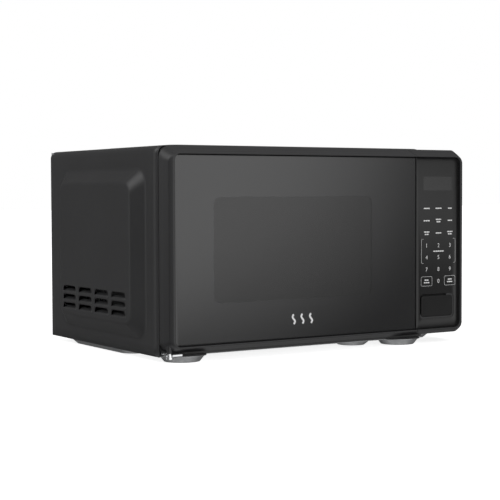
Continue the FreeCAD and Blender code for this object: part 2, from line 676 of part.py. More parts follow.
def rear_screw_places():
    """Where the screws hold the wrap to the rear panel."""
    return [("-half_width + 5.4", "60"), ("-half_width + 5.4", "190"), ("half_width - 5.4", "60"),
            ("half_width - 5.4", "190"), ("-100", "front_top - 5.6"), ("100", "front_top - 5.6")]


def rear_screw_holes(name):
    """Clearance holes for those screws."""
    return [rod(f"{name}_screw_hole_{index}", "y", (x, "rear_y - 6", z), "10", "1.7")
            for index, (x, z) in enumerate(rear_screw_places())]


def make_cabinet_screws():
    """Pan-head screws along the rear edge of the wrap."""
    screws = []
    for index, (x, z) in enumerate(rear_screw_places()):
        head = cone(f"screw_head_{index}", "y", (x, "rear_y + 0.02", z), "rear_lip - 0.02", "3.8", "2.9")
        shank = rod(f"screw_shank_{index}", "y", (x, "rear_y - 7", z), "7.5", "1.6")
        socket = box(f"screw_slot_{index}", (f"({x}) - 2.2", f"({x}) + 2.2"),
                     ("rear_y + 1", "rear_y + 3"), (f"({z}) - 0.4", f"({z}) + 0.4"))
        screws.append(cut(f"screw_{index}", fuse(f"screw_blank_{index}", head, shank), socket))
    return keep("cabinet_screws", group("cabinet_screws_group", *screws))


def make_rear_panel():
    """Flat rear wall with the fan's intake slots."""
    sheet = box("rear_sheet", ("-half_width + 1.2", "half_width - 1.2"),
                ("rear_panel_y", "rear_panel_y + sheet_gauge - 0.05"), ("base_top + 0.2", "front_top - 1.2"))
    fan_slots = [box(f"rear_slot_{column}_{row}", (f"fan_x - 38 + 26 * {column}", f"fan_x - 16 + 26 * {column}"),
                     ("rear_panel_y - 2", "rear_panel_y + 3"),
                     (f"fan_z - 34 + 9 * {row}", f"fan_z - 30 + 9 * {row}"))
                 for column in range(3) for row in range(8)]
    vents = [box(f"rear_vent_{index}", (f"-150 + 14 * {index}", f"-143 + 14 * {index}"),
                 ("rear_panel_y - 2", "rear_panel_y + 3"), ("190", "214")) for index in range(8)]
    gland = rod("rear_gland_hole", "y", ("188", "rear_panel_y - 3", "42"), "8",
                "gland_radius + running_play")
    return keep("rear_panel", cut("rear_panel_solid", sheet, *fan_slots, *vents, gland,
                                  *rear_screw_holes("rear")))


def make_gland():
    """Bushing in the rear wall, where the power cord would enter."""
    barrel = rod("gland_barrel", "y", ("188", "rear_panel_y - 8", "42"), "9", "gland_radius")
    flange = rod("gland_flange", "y", ("188", "rear_panel_y + sheet_gauge", "42"),
                 "rear_lip + sheet_gauge - 0.2", "10.5")
    hole = rod("gland_hole", "y", ("188", "rear_panel_y - 10", "42"), "20", "3.6")
    return keep("cord_gland", cut("gland_solid", fuse("gland_blank", barrel, flange), hole))


def foot_form(name, x, y, grow, low):
    """The outer form of a round pressed foot."""
    return cone(name, "z", (x, y, low), f"belly_height + 0.4 - ({low})", f"foot_radius - {grow}",
                f"foot_radius + 6 - {grow}")


def make_base():
    """Floor pan of bare sheet, with its feet pressed out of it."""
    plate = box("base_sheet", ("-half_width + 2", "half_width - 2"), ("plate_back + 0.4", "rear_panel_y - 0.4"),
                ("belly_height", "base_top"))
    feet = [("-184", "-126"), ("132", "-126"), ("-186", "92"), ("186", "92")]
    outers = []
    inners = []
    for index, (x, y) in enumerate(feet):
        outers.append(foot_form(f"foot_outer_{index}", x, y, "0", "0"))
        inners.append(foot_form(f"foot_inner_{index}", x, y, "sheet_gauge", "sheet_gauge"))
    front_feet = feet[:2]
    for index, (x, y) in enumerate(front_feet):
        outers.append(rod(f"foot_collar_{index}", "z", (x, y, "belly_height"), "sheet_gauge",
                          "foot_radius + 7.5"))
    pads = [("boss", ("176", "208"), ("-96", "-64"), "15"), ("knee", ("58", "90"), ("-122", "-88"), "15")]
    for name, x, y, corner in pads:
        for grow, low, store in (("0", "0.6", outers), ("sheet_gauge", "0.6 + sheet_gauge", inners)):
            store.append(lofted_block(f"base_{name}_{len(store)}", "z", [
                (low, [(f"{x[0]} + {grow}", f"{x[1]} - {grow}"), (f"{y[0]} + {grow}", f"{y[1]} - {grow}")],
                 f"{corner} - {grow}"),
                ("belly_height + 0.4", [(f"{x[0]} - 9 + {grow}", f"{x[1]} + 9 - {grow}"),
                                        (f"{y[0]} - 6 + {grow}", f"{y[1]} + 6 - {grow}")],
                 f"{corner} + 5 - {grow}")]))
    for grow, low, store in (("0", "0.8", outers), ("sheet_gauge", "0.8 + sheet_gauge", inners)):
        store.append(lofted_block(f"base_pan_{len(store)}", "z", [
            (low, [(f"-211 + {grow}", f"211 - {grow}"), (f"-44 + {grow}", f"111 - {grow}")], "18"),
            ("belly_height + 0.4", [(f"-216 + {grow}", f"216 - {grow}"), (f"-56 + {grow}", f"124 - {grow}")],
             "22")]))
    notch = box("base_notch", ("162", "half_width"), ("seam_y", "-101"), ("belly_height - 0.1", "base_top + 0.1"))
    return keep("base_plate", cut("base_solid", fuse("base_blank", cut("base_notched", plate, notch), *outers),
                                  *inners))


def make_front_plate():
    """Steel plate around the cavity's mouth."""
    sheet = rounded_block("front_plate_blank", "y",
                          [("-half_width + 1.6", "half_width - 1.6"), ("seam_y", "plate_back"),
                           ("base_top + 0.4", "front_top - 1.6")], "8")
    mouth = box("front_plate_mouth", ("-cavity_left", "cavity_right"), ("seam_y - 2", "plate_back + 2"),
                ("cavity_floor", "cavity_top"))
    step = box("front_plate_step", ("162", "half_width"), ("seam_y - 2", "plate_back + 2"),
               ("base_top", "front_bottom"))
    panel = box("front_plate_panel", ("142.6", "213.4"), ("seam_y - 2", "plate_back + 2"), ("27", "229"))
    arms = [box(f"front_plate_arm_{index}", ("hinge_x - 4.3", "hinge_x + 3.5"), ("seam_y - 2", "plate_back + 2"),
                (f"{low} - 0.3", f"{low} + arm_thick + 0.3")) for index, low in enumerate((UPPER_ARM, LOWER_ARM))]
    return keep("front_plate", cut("front_plate_solid", sheet, mouth, step, panel, *arms,
                                   *hook_slots("front_plate_slot", "seam_y - 2", "plate_back + 2")))


# ---------------------------------------------------------------- cavity and turntable

def make_cavity():
    """Cooking cavity: five painted walls, open at the front."""
    outer = box("cavity_outer", ("-cavity_left - sheet_gauge", "cavity_right + sheet_gauge"),
                ("plate_back + 0.02", "cavity_rear + sheet_gauge"),
                ("cavity_floor - sheet_gauge", "cavity_top + sheet_gauge"))
    inner = box("cavity_inner", ("-cavity_left", "cavity_right"), ("seam_y - 5", "cavity_rear"),
                ("cavity_floor", "cavity_top"))
    shaft = rod("cavity_shaft_hole", "z", ("tray_x", "tray_y", "cavity_floor - 5"), "10", "stem_radius + 1.2")
    feed = box("cavity_feed", ("cavity_right - 2", "cavity_right + 4"), ("-32", "26"), ("122", "178"))
    lamp = [rod(f"cavity_lamp_hole_{column}_{row}", "x",
                ("cavity_right - 2", f"64 + 5 * {column}", f"196 + 5 * {row}"), "6", "1.6")
            for column in range(5) for row in range(4)]
    exhaust = [rod(f"cavity_exhaust_{column}_{row}", "x",
                   ("-cavity_left - 4", f"50 + 6 * {column}", f"60 + 6 * {row}"), "6", "1.9")
               for column in range(8) for row in range(4)]
    return keep("oven_cavity", cut("cavity_solid", outer, inner, shaft, feed, *lamp, *exhaust))


def make_turntable_motor():
    """Slow synchronous motor under the cavity floor."""
    can = rod("turntable_motor_can", "z", ("tray_x", "tray_y", "14"), "cavity_floor - sheet_gauge - 14.2", "24.5")
    ears = box("turntable_motor_ears", ("tray_x - 31", "tray_x + 31"), ("tray_y - 5", "tray_y + 5"),
               ("cavity_floor - sheet_gauge - 1.4", "cavity_floor - sheet_gauge - 0.2"))
    plug = box("turntable_motor_plug", ("tray_x - 9", "tray_x + 9"), ("tray_y + 20", "tray_y + 33"), ("15", "26"))
    bore = rod("turntable_motor_bore", "z", ("tray_x", "tray_y", "18"), "20", "stem_radius + running_play")
    return keep("turntable_motor", cut("turntable_motor_solid",
                                       fuse("turntable_motor_blank", can, ears, plug), bore))


def lobes(name, radius_low, radius_high, half, z_low, z_high, start):
    """Three bars around the turntable axis."""
    bars = []
    for index in range(3):
        angle = start + 120 * index
        bar = doc.addObject("Part::Box", f"{name}_{index}")
        turn = Rotation(Vector(0, 0, 1), angle)
        bar.Placement.Rotation = turn
        bind(bar, "Length", f"({radius_high}) - ({radius_low})")
        bind(bar, "Width", f"2 * ({half})")
        bind(bar, "Height", f"({z_high}) - ({z_low})")
        along = turn.multVec(Vector(1, 0, 0))
        place_at(bar, f"tray_x + ({radius_low}) * {along.x} + ({half}) * {along.y}",
                 f"tray_y + ({radius_low}) * {along.y} - ({half}) * {along.x}", z_low)
        bars.append(bar)
    return bars


def make_coupler():
    """Three-lobed drive that carries the turntable."""
    hub = rod("coupler_hub", "z", ("tray_x", "tray_y", "cavity_floor + 0.8"), "tray_z - cavity_floor - 1.1",
              "coupler_radius")
    stem = rod("coupler_stem", "z", ("tray_x", "tray_y", "18.6"), "cavity_floor + 2 - 18.6", "stem_radius")
    arms = lobes("coupler_arm", "4", "17", "2.6", "tray_z - 6.4", "tray_z - 0.9", 90)
    return keep("turntable_coupler", fuse("coupler_solid", hub, stem, *arms))


def make_turntable():
    """Round glass tray with a raised rim and drive lugs below."""
    base = rod("tray_disc", "z", ("tray_x", "tray_y", "tray_z"), "tray_glass", "tray_radius - 14")
    slope = cone("tray_slope", "z", ("tray_x", "tray_y", "tray_z"), "10", "tray_radius - 14.5", "tray_radius")
    rim = rod("tray_rim", "z", ("tray_x", "tray_y", "tray_z + 10"), "3", "tray_radius")
    hollow = cone("tray_hollow", "z", ("tray_x", "tray_y", "tray_z + tray_glass"), "9.4", "tray_radius - 16",
                  "tray_radius - 3")
    bowl = cut("tray_bowl", fuse("tray_blank", base, slope, rim), hollow)
    lugs = lobes("tray_lug", "11", "17", "3", "tray_z - 5.6", "tray_z + 0.4", 30)
    return keep("glass_turntable", fuse("tray_solid", bowl, *lugs))


def make_roller_ring():
    """Ring that carries three wheels under the tray."""
    low, high = "wheel_z - 2.6", "wheel_z + 2.6"
    rim = cut("ring_rim", rod("ring_outer", "z", ("tray_x", "tray_y", low), "5.2", "ring_radius + 4"),
              rod("ring_inner", "z", ("tray_x", "tray_y", "wheel_z - 4"), "8", "ring_radius"))
    axles = []
    for index in range(3):
        turn = Rotation(Vector(0, 0, 1), 30 + 120 * index)
        along = turn.multVec(Vector(1, 0, 0))
        axle = doc.addObject("Part::Cylinder", f"ring_axle_{index}")
        axle.Placement.Rotation = turn * TURN["x"]
        bind(axle, "Radius", "axle_radius")
        bind(axle, "Height", "wheel_reach + wheel_wide / 2 + 3 - ring_radius - 2")
        place_at(axle, f"tray_x + (ring_radius + 2) * {along.x}", f"tray_y + (ring_radius + 2) * {along.y}",
                 "wheel_z")
        cap = doc.addObject("Part::Cylinder", f"ring_cap_{index}")
        cap.Placement.Rotation = turn * TURN["x"]
        bind(cap, "Radius", "axle_radius + 1.2")
        bind(cap, "Height", "1.6")
        reach = "(wheel_reach + wheel_wide / 2 + 1.4)"
        place_at(cap, f"tray_x + {reach} * {along.x}", f"tray_y + {reach} * {along.y}", "wheel_z")
        axles += [axle, cap]
    return keep("roller_ring", fuse("ring_solid", rim, *axles))


def make_wheels():
    """Wheels of the roller ring."""
    for index in range(3):
        turn = Rotation(Vector(0, 0, 1), 30 + 120 * index)
        along = turn.multVec(Vector(1, 0, 0))
        shapes = []
        for kind, radius, reach, length in (
                ("tread", "wheel_radius", "(wheel_reach - wheel_wide / 2)", "wheel_wide"),
                ("bore", "axle_radius + running_play", "(wheel_reach - wheel_wide)", "2 * wheel_wide")):
            item = doc.addObject("Part::Cylinder", f"wheel_{kind}_{index}")
            item.Placement.Rotation = turn * TURN["x"]
            bind(item, "Radius", radius)
            bind(item, "Height", length)
            place_at(item, f"tray_x + {reach} * {along.x}", f"tray_y + {reach} * {along.y}", "wheel_z")
            shapes.append(item)
        keep(f"roller_wheel_{index + 1}", cut(f"wheel_solid_{index}", *shapes))


# ---------------------------------------------------------------- microwave source and cooling

def make_source():
    """Magnetron, waveguide and the mica window over the feed."""
    guide = box("waveguide_outer", ("cavity_right + 1", "141"), ("-38", "32"), ("114", "186"))
    hollow = box("waveguide_inner", ("cavity_right", "140.2"), ("-37.2", "31.2"), ("114.8", "185.2"))
    port = rod("waveguide_port", "x", ("135", "-3", "150"), "12", "9")
    keep("waveguide", cut("waveguide_solid", guide, hollow, port))
    antenna = rod("magnetron_antenna", "x", ("118", "-3", "150"), "25", "7.5")
    flange = box("magnetron_flange", ("141.2", "142.8"), ("-43", "37"), ("114", "186"))
    yoke = cut("magnetron_yoke",
               box("yoke_outer", ("142.6", "192"), ("-40", "34"), ("118", "182")),
               box("yoke_inner", ("145", "189.6"), ("-45", "40"), ("120.4", "179.6")))
    anode = rod("magnetron_anode", "x", ("143", "-3", "150"), "48", "19")
    fins = [box(f"magnetron_fin_{index}", (f"150 + 7 * {index}", f"150.9 + 7 * {index}"), ("-36", "30"),
                ("120.2", "179.8")) for index in range(5)]
    filter_box = box("magnetron_filter", ("191.6", "213"), ("-30", "24"), ("126", "174"))
    terminal = box("magnetron_terminal", ("198", "208"), ("-38", "-29"), ("144", "158"))
    keep("magnetron", fuse("magnetron_solid", antenna, flange, yoke, anode, *fins, filter_box, terminal))
    keep("mica_cover", rounded_block("mica_sheet", "x",
         [("cavity_right - 1", "cavity_right - 0.5"), ("-40", "34"), ("114", "186")], "4"))


def make_power_parts():
    """High-voltage transformer, capacitor, clamp and diode."""
    core = box("transformer_core", ("134", "200"), ("-85", "-10"), ("10.5", "78"))
    coils = [rounded_block(f"transformer_coil_{index}", "z", [("142", "192"), ("-98", "3"), (low, high)], "12")
             for index, (low, high) in enumerate((("17", "42"), ("46", "71")))]
    flange = box("transformer_flange", ("126", "208"), ("-86", "-9"), ("base_top + 0.3", "10.6"))
    keep("hv_transformer", fuse("transformer_solid", core, *coils, flange))
    can = rounded_block("capacitor_can", "z", [("128", "180"), ("62", "95"), ("12", "88")], "16")
    tabs = [box(f"capacitor_tab_{index}", (f"142 + 20 * {index}", f"146 + 20 * {index}"), ("78", "78.8"),
                ("87", "99")) for index in range(2)]
    keep("hv_capacitor", fuse("capacitor_solid", can, *tabs))
    band = cut("clamp_band", rounded_block("clamp_outer", "z", [("126.6", "181.4"), ("60.6", "96.4"),
                                                                 ("30", "42")], "17.4"),
               rounded_block("clamp_inner", "z", [("127.8", "180.2"), ("61.8", "95.2"), ("29", "43")], "16.2"))
    leg = box("clamp_leg", ("148", "160"), ("95.4", "97"), ("base_top + 0.2", "42"))
    toe = box("clamp_toe", ("148", "160"), ("95.4", "110"), ("base_top + 0.2", "base_top + 1.6"))
    keep("capacitor_clamp", fuse("clamp_solid", band, leg, toe))
    diode = rod("diode_body", "z", ("196", "78", "20"), "22", "4")
    lead = box("diode_strap", ("192", "200"), ("77.5", "78.5"), ("base_top + 0.2", "21"))
    keep("hv_diode", fuse("diode_solid", diode, lead))


def fan_blade(index, count):
    """One pitched blade."""
    item = doc.addObject("Part::Box", f"fan_blade_{index}")
    turn = Rotation(Vector(0, 1, 0), 360 / count * index) * Rotation(Vector(1, 0, 0), 32)
    item.Placement.Rotation = turn
    bind(item, "Length", "fan_radius - 6")
    bind(item, "Width", "1.4")
    bind(item, "Height", "19")
    start = turn.multVec(Vector(6, -0.7, -9.5))
    place_at(item, f"fan_x + {start.x}", f"127 + {start.y}", f"fan_z + {start.z}")
    return item


def make_fan():
    """Cooling fan: motor, blade, shroud and the duct to the magnetron."""
    core = box("fan_motor_core", ("fan_x - 24", "fan_x + 24"), ("140", "152"), ("fan_z - 20", "fan_z + 24"))
    coil = box("fan_motor_coil", ("fan_x - 15", "fan_x + 15"), ("137.5", "153.6"), ("fan_z - 33", "fan_z - 14"))
    cap = rod("fan_motor_cap", "y", ("fan_x", "136.6", "fan_z + 2"), "5", "13")
    bore = rod("fan_motor_bore", "y", ("fan_x", "134", "fan_z"), "12", "1.5 + running_play")
    keep("fan_motor", cut("fan_motor_solid", fuse("fan_motor_blank", core, coil, cap), bore))
    hub = rod("fan_hub", "y", ("fan_x", "118.5", "fan_z"), "16", "8")
    shaft = rod("fan_shaft", "y", ("fan_x", "121", "fan_z"), "24", "1.5")
    count = int(SHEET_VALUES["fan_blades"])
    keep("fan_blade", fuse("fan_blade_solid", hub, shaft, *[fan_blade(index, count) for index in range(count)]))
    plate = rounded_block("shroud_plate", "y", [("118", "213"), ("134", "136"), ("103", "198")], "5")
    throat = rod("shroud_throat", "y", ("fan_x", "116", "fan_z"), "19", "fan_radius + 4.2")
    hole = rod("shroud_hole", "y", ("fan_x", "110", "fan_z"), "30", "fan_radius + 2.4")
    posts = [box(f"shroud_post_{index}", (f"{x} - 4", f"{x} + 4"), ("135", "rear_panel_y - 0.2"),
                 (f"{z} - 4", f"{z} + 4")) for index, (x, z) in enumerate(
                     ((123, 108), (208, 108), (123, 193), (208, 193)))]
    keep("fan_shroud", cut("shroud_solid", fuse("shroud_blank", plate, throat, *posts), hole))
    outer = box("duct_outer", ("142", "212"), ("42", "115.6"), ("111", "189"))
    inner = box("duct_inner", ("143.4", "210.6"), ("40", "118"), ("112.4", "187.6"))
    keep("air_duct", cut("duct_solid", outer, inner))


def make_small_parts():
    """Lamp, mains filter and thermal cut-outs."""
    bulb = rod("lamp_globe", "x", ("118", "74", "204"), "11", "8.5")
    crown = cone("lamp_crown", "x", ("114.6", "74", "204"), "3.4", "5", "8.5")
    shoulder = cone("lamp_shoulder", "x", ("129", "74", "204"), "4", "8.5", "6")
    neck = rod("lamp_neck", "x", ("133", "74", "204"), "7", "6")
    keep("cavity_lamp", fuse("lamp_solid", bulb, crown, shoulder, neck))
    socket = rod("lamp_socket", "x", ("140.2", "74", "204"), "14", "10")
    stay = box("lamp_stay", ("112", "154"), ("84.5", "86"), ("194", "216"))
    bridge = box("lamp_bridge", ("142", "152"), ("80", "86"), ("199", "209"))
    keep("lamp_holder", fuse("lamp_holder_solid", socket, stay, bridge))
    board = box("filter_sheet", ("120", "208"), ("38", "118"), ("222", "223.6"))
    choke = rod("filter_choke", "z", ("146", "92", "223.4"), "14", "12")
    cap = box("filter_capacitor", ("168", "194"), ("84", "96"), ("223.4", "238"))
    fuse_body = rod("filter_fuse", "x", ("140", "60", "229"), "28", "3.4")
    clips = [box(f"filter_clip_{index}", (f"142 + 19 * {index}", f"147 + 19 * {index}"), ("57.5", "62.5"),
                 ("223.4", "228")) for index in range(2)]
    keep("filter_board", fuse("filter_solid", board, choke, cap, fuse_body, *clips))
    cutouts = []
    for index, (x, y, z) in enumerate((("168", "-3", "182.3"), ("20", "40", "cavity_top + sheet_gauge + 0.2"))):
        disc = rod(f"cutout_disc_{index}", "z", (x, y, z), "7", "8.5")
        flange = box(f"cutout_flange_{index}", (f"{x} - 13", f"{x} + 13"), (f"{y} - 4", f"{y} + 4"),
                     (z, f"{z} + 0.8"))
        blades = [box(f"cutout_blade_{index}_{side}", (f"{x} {side} 4 - 0.4", f"{x} {side} 4 + 0.4"),
                      (f"{y} - 3", f"{y} + 3"), (f"{z} + 6", f"{z} + 13")) for side in "+-"]
        cutouts.append(fuse(f"cutout_{index}", disc, flange, *blades))
    keep("thermal_cutouts", group("cutout_group", *cutouts))


# ---------------------------------------------------------------- build

def check_and_write():
    """Refuse a failed feature or a bad solid, then write one file for each piece."""
    doc.recompute()
    failed = [item.Name for item in doc.Objects if {"Invalid", "Error"} & set(item.State)]
    if failed:
        raise RuntimeError("failed: " + ", ".join(failed))
    os.makedirs("parts", exist_ok=True)
    for name, item in pieces.items():
        shape = item.Shape
        if shape.isNull() or not shape.isValid() or not shape.Solids:
            raise RuntimeError(f"{name} has no valid solid")
        shape.exportStep(f"parts/{name}.step")
        size = shape.BoundBox
        print(f"{name:22s} solids {len(shape.Solids):2d} volume {shape.Volume / 1000:9.2f} cm3  "
              f"x {size.XMin:7.1f} {size.XMax:7.1f}  y {size.YMin:7.1f} {size.YMax:7.1f}  "
              f"z {size.ZMin:6.1f} {size.ZMax:6.1f}")


def main():
    """Build every piece of the oven."""
    make_sheet()
    for maker in (make_cabinet, make_rear_panel, make_base, make_front_plate, make_cavity,
                  make_door_frame, make_door_glass, make_choke, make_choke_cover, make_inner_film,
                  make_latch_hook, make_latch_spring, make_control_frame, make_overlay,
                  make_key_membrane, make_display, make_control_board, make_button,
                  make_button_spring, make_latch_board, make_release_lever, make_switches,
                  make_hinges, make_cabinet_screws, make_gland, make_turntable_motor, make_coupler,
                  make_turntable, make_roller_ring, make_wheels, make_source, make_power_parts,
                  make_fan, make_small_parts):
        maker()
    check_and_write()


main()
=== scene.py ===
import math

import bmesh
import bpy
import numpy as np
from mathutils import Matrix, Vector


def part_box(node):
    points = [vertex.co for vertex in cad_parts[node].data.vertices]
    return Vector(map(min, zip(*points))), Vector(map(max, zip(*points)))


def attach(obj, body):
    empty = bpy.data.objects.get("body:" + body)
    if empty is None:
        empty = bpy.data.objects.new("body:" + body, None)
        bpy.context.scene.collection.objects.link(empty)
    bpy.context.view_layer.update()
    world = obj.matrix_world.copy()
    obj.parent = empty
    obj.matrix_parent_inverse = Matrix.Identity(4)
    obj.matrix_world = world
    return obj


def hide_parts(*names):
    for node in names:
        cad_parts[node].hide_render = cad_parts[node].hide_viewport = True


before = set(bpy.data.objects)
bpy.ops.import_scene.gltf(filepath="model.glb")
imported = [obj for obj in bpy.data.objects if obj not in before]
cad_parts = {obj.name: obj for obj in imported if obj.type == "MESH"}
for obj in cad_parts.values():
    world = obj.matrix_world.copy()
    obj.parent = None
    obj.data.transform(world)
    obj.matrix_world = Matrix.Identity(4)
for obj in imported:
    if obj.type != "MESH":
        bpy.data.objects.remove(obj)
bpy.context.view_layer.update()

bl_info = {
    "name": "Compact Microwave Oven",
    "version": (1, 0, 0),
    "blender": (4, 5, 0),
    "location": "View3D > Sidebar > Oven",
    "description": "Builds the visible pieces and finishes of a countertop microwave oven",
    "category": "Object",
}

# Shapes are worked out in millimetres and stored in metres.
MM = 0.001


def corners(node):
    """Lowest and highest corner of a CAD node, in millimetres."""
    low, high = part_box(node)
    return np.array(low) / MM, np.array(high) / MM


FRAME_LOW, FRAME_HIGH = corners("door_frame")
PANEL_LOW = corners("control_panel_frame")[0]
GLASS_LOW, GLASS_HIGH = corners("door_glass")
SHEET_LOW, SHEET_HIGH = corners("control_overlay")
BUTTON_LOW, BUTTON_HIGH = corners("release_button")
WRAP_LOW, WRAP_HIGH = corners("outer_cabinet")
TRAY_LOW, TRAY_HIGH = corners("glass_turntable")


# ---------------------------------------------------------------- settings

def millimetres(name, description, default):
    """A length in millimetres that a user may change."""
    return bpy.props.FloatProperty(name=name, description=description, default=default)


def linear_rgb(name, description, default):
    """A linear RGB colour that a user may change."""
    return bpy.props.FloatVectorProperty(name=name, description=description, subtype="COLOR",
                                         default=default, min=0, max=1)


def degrees(name, description, default):
    """An angle that a user may change."""
    return bpy.props.FloatProperty(name=name, description=description, subtype="ANGLE",
                                   default=math.radians(default))


def metres(name, description, default):
    """A coordinate of the studio in metres that a user may change."""
    return bpy.props.FloatProperty(name=name, description=description, unit="LENGTH", default=default)


class OvenFrontSizes(bpy.types.PropertyGroup):
    """Sizes of the door and control panel, in millimetres."""
    front_half: millimetres("Half width", "Middle of the front to its left or right side", 220)
    lip_half: millimetres("Lip", "Middle of the front to the outer edge of the lip", 211.8)
    recess_half: millimetres("Recess", "Middle of the front to the side of the glass recess", 209.6)
    recess_low: millimetres("Recess foot", "Lower edge of the glass recess", 19.5)
    recess_high: millimetres("Recess head", "Upper edge of the glass recess", 237.1)
    recess_corner: millimetres("Recess corner", "Corner radius of the glass recess", 7.5)
    window_left: millimetres("Window left", "Left edge of the viewing window", -157)
    window_right: millimetres("Window right", "Right edge of the viewing window", 70)
    window_low: millimetres("Window foot", "Lower edge of the viewing window", 66.7)
    window_high: millimetres("Window head", "Upper edge of the viewing window", 188.3)
    window_corner: millimetres("Window corner", "Corner radius of the viewing window", 9)


class OvenCabinetSizes(bpy.types.PropertyGroup):
    """Sizes of the cabinet, in millimetres."""
    bend: millimetres("Bend", "Radius of the cabinet's top edges", 9)
    gauge: millimetres("Sheet", "Thickness of the cabinet's sheet", 0.8)
    return_width: millimetres("Return", "Width of the folded rear edge", 8.4)
    field_front: millimetres("Field front", "Front edge of a side field", -106.5)
    field_rear: millimetres("Field rear", "Rear edge of a side field", 118.3)
    field_low: millimetres("Field foot", "Lower edge of a side field", 25)
    field_high: millimetres("Field head", "Upper edge of a side field", 220.6)
    field_slope: millimetres("Slope", "Width of a side field's slope, front and rear", 16.5)
    field_fall: millimetres("Fall", "Width of a side field's slope, top and bottom", 15.5)
    slot_length: millimetres("Louvre length", "Length of a louvre slot", 36.8)
    slot_height: millimetres("Louvre height", "Height of a louvre slot", 7.2)
    slot_pitch: millimetres("Louvre pitch", "Spacing of the louvre columns", 44.9)
    slot_step: millimetres("Louvre step", "Spacing of the louvre rows", 10.7)
    slot_rear: millimetres("Louvre rear", "Middle of the rearmost louvre column", 74.4)
    slot_low: millimetres("Louvre foot", "Middle of the lowest louvre row", 52.2)


class OvenColours(bpy.types.PropertyGroup):
    """Main colours, linear RGB."""
    paint: linear_rgb("Cabinet paint", "Matt black paint of the cabinet", (0.026, 0.026, 0.027))
    moulding: linear_rgb("Mouldings", "Black plastic of the door and panel", (0.017, 0.017, 0.018))
    glass: linear_rgb("Front glass", "Print behind the front glass", (0.013, 0.013, 0.0135))
    window: linear_rgb("Window", "Smoked window in the front glass", (0.019, 0.019, 0.019))
    sheet: linear_rgb("Panel sheet", "Printed sheet of the control panel", (0.014, 0.014, 0.014))
    print_grey: linear_rgb("Print", "Figures and signs of the panel", (0.85, 0.85, 0.85))
    enamel: linear_rgb("Enamel", "Paint of the cavity and front plate", (0.56, 0.56, 0.54))


class OvenStudio(bpy.types.PropertyGroup):
    """The camera: its place, heading, dip, roll and lens."""
    camera_x: metres("Camera X", "Camera, sideways", -0.9373)
    camera_y: metres("Camera Y", "Camera, ahead of the middle", -1.4567)
    camera_z: metres("Camera Z", "Camera height", 0.1943)
    heading: degrees("Heading", "Turn of the view from +Y towards +X", 32.47)
    dip: degrees("Dip", "Tilt of the view below the horizon", 2.51)
    roll: degrees("Roll", "Roll of the camera", -0.2)
    lens: millimetres("Lens", "Focal length on a sensor 36 mm wide", 95.85)


SETTINGS = {
    "oven_front": OvenFrontSizes,
    "oven_cabinet": OvenCabinetSizes,
    "oven_colours": OvenColours,
    "oven_studio": OvenStudio,
}


# ---------------------------------------------------------------- surfaces

def rounded_loop(left, right, low, high, radii, steps=8):
    """A rounded rectangle as a closed loop of points, anticlockwise from its lower left corner.

    Each corner is a quarter circle: its centre plus its radius times (cos, sin). radii is one
    radius, or four: lower left, lower right, upper right, upper left.
    """
    radius = np.broadcast_to(np.asarray(radii, float), 4)
    centre_a = np.array([left, right, right, left]) + radius * [1, -1, -1, 1]
    centre_b = np.array([low, low, high, high]) + radius * [1, 1, -1, -1]
    angle = np.radians([180, 270, 0, 90])[:, None] + np.linspace(0, np.pi / 2, steps + 1)
    a = centre_a[:, None] + radius[:, None] * np.cos(angle)
    b = centre_b[:, None] + radius[:, None] * np.sin(angle)
    return np.stack([a, b], -1).reshape(-1, 2)


def inset_loop(low, high, inset, radii, steps=8):
    """The rounded outline of a box seen from the front, moved inwards by inset."""
    return rounded_loop(low[0] + inset, high[0] - inset, low[2] + inset, high[2] - inset, radii, steps)


def rim_loop(side, half, seam, low, high, radius, steps=10):
    """A C-shaped line of (x, z): along the foot from the seam, up the outer side, back along the head.

    side is -1 for a left rim and +1 for a right one. The two outer corners are quarter circles.
    """
    angle = np.linspace(0, np.pi / 2, steps + 1)
    across = half - radius + radius * np.sin(angle)
    foot = low + radius - radius * np.cos(angle)
    head = high - radius + radius * np.cos(angle)
    x = np.concatenate([[side * seam], across, across[::-1], [side * seam]]) * side
    z = np.concatenate([[low], foot, head[::-1], [high]])
    return np.stack([x, z], -1)


def soften(stations, reach, steps=4):
    """Rounds the corners of a closed list of stations (rows of numbers).

    Each corner becomes a quadratic curve between the points that lie reach before and after it,
    measured along the first two numbers, or a third of the way where a side is short.
    """
    rows = np.asarray(stations, float)
    before, after = np.roll(rows, 1, 0), np.roll(rows, -1, 0)

    def near(other):
        span = np.linalg.norm((other - rows)[:, :2], axis=1)
        share = np.minimum(reach / np.maximum(span, 1e-6), 0.4)
        return rows + (other - rows) * share[:, None]

    start, end = near(before)[:, None], near(after)[:, None]
    t = np.linspace(0, 1, steps + 1)[None, :, None]
    curve = (1 - t) ** 2 * start + 2 * t * (1 - t) * rows[:, None] + t ** 2 * end
    return curve.reshape(-1, rows.shape[1])


def skin(points, wrap_rows=False, wrap_columns=True, ends=True):
    """Quads over a grid of points (rows, columns, 3). ends closes the first and the last row."""
    rows, columns = points.shape[:2]
    index = np.arange(rows * columns).reshape(rows, columns)
    first, last = index[0], index[-1]
    if wrap_rows:
        index = np.vstack([index, index[:1]])
    if wrap_columns:
        index = np.hstack([index, index[:, :1]])
    quads = np.stack([index[:-1, :-1], index[:-1, 1:], index[1:, 1:], index[1:, :-1]], -1)
    faces = quads.reshape(-1, 4).tolist()
    if ends and not wrap_rows:
        faces += [first[::-1].tolist(), last.tolist()]
    return points.reshape(-1, 3), faces


def layers(loops, depths):
    """Loops of (x, z) stacked along Y: a grid of points (loops, points, 3)."""
    depth = np.broadcast_to(np.asarray(depths, float)[:, None], (len(loops), len(loops[0])))
    stack = np.stack(loops)
    return np.stack([stack[..., 0], depth, stack[..., 1]], -1)


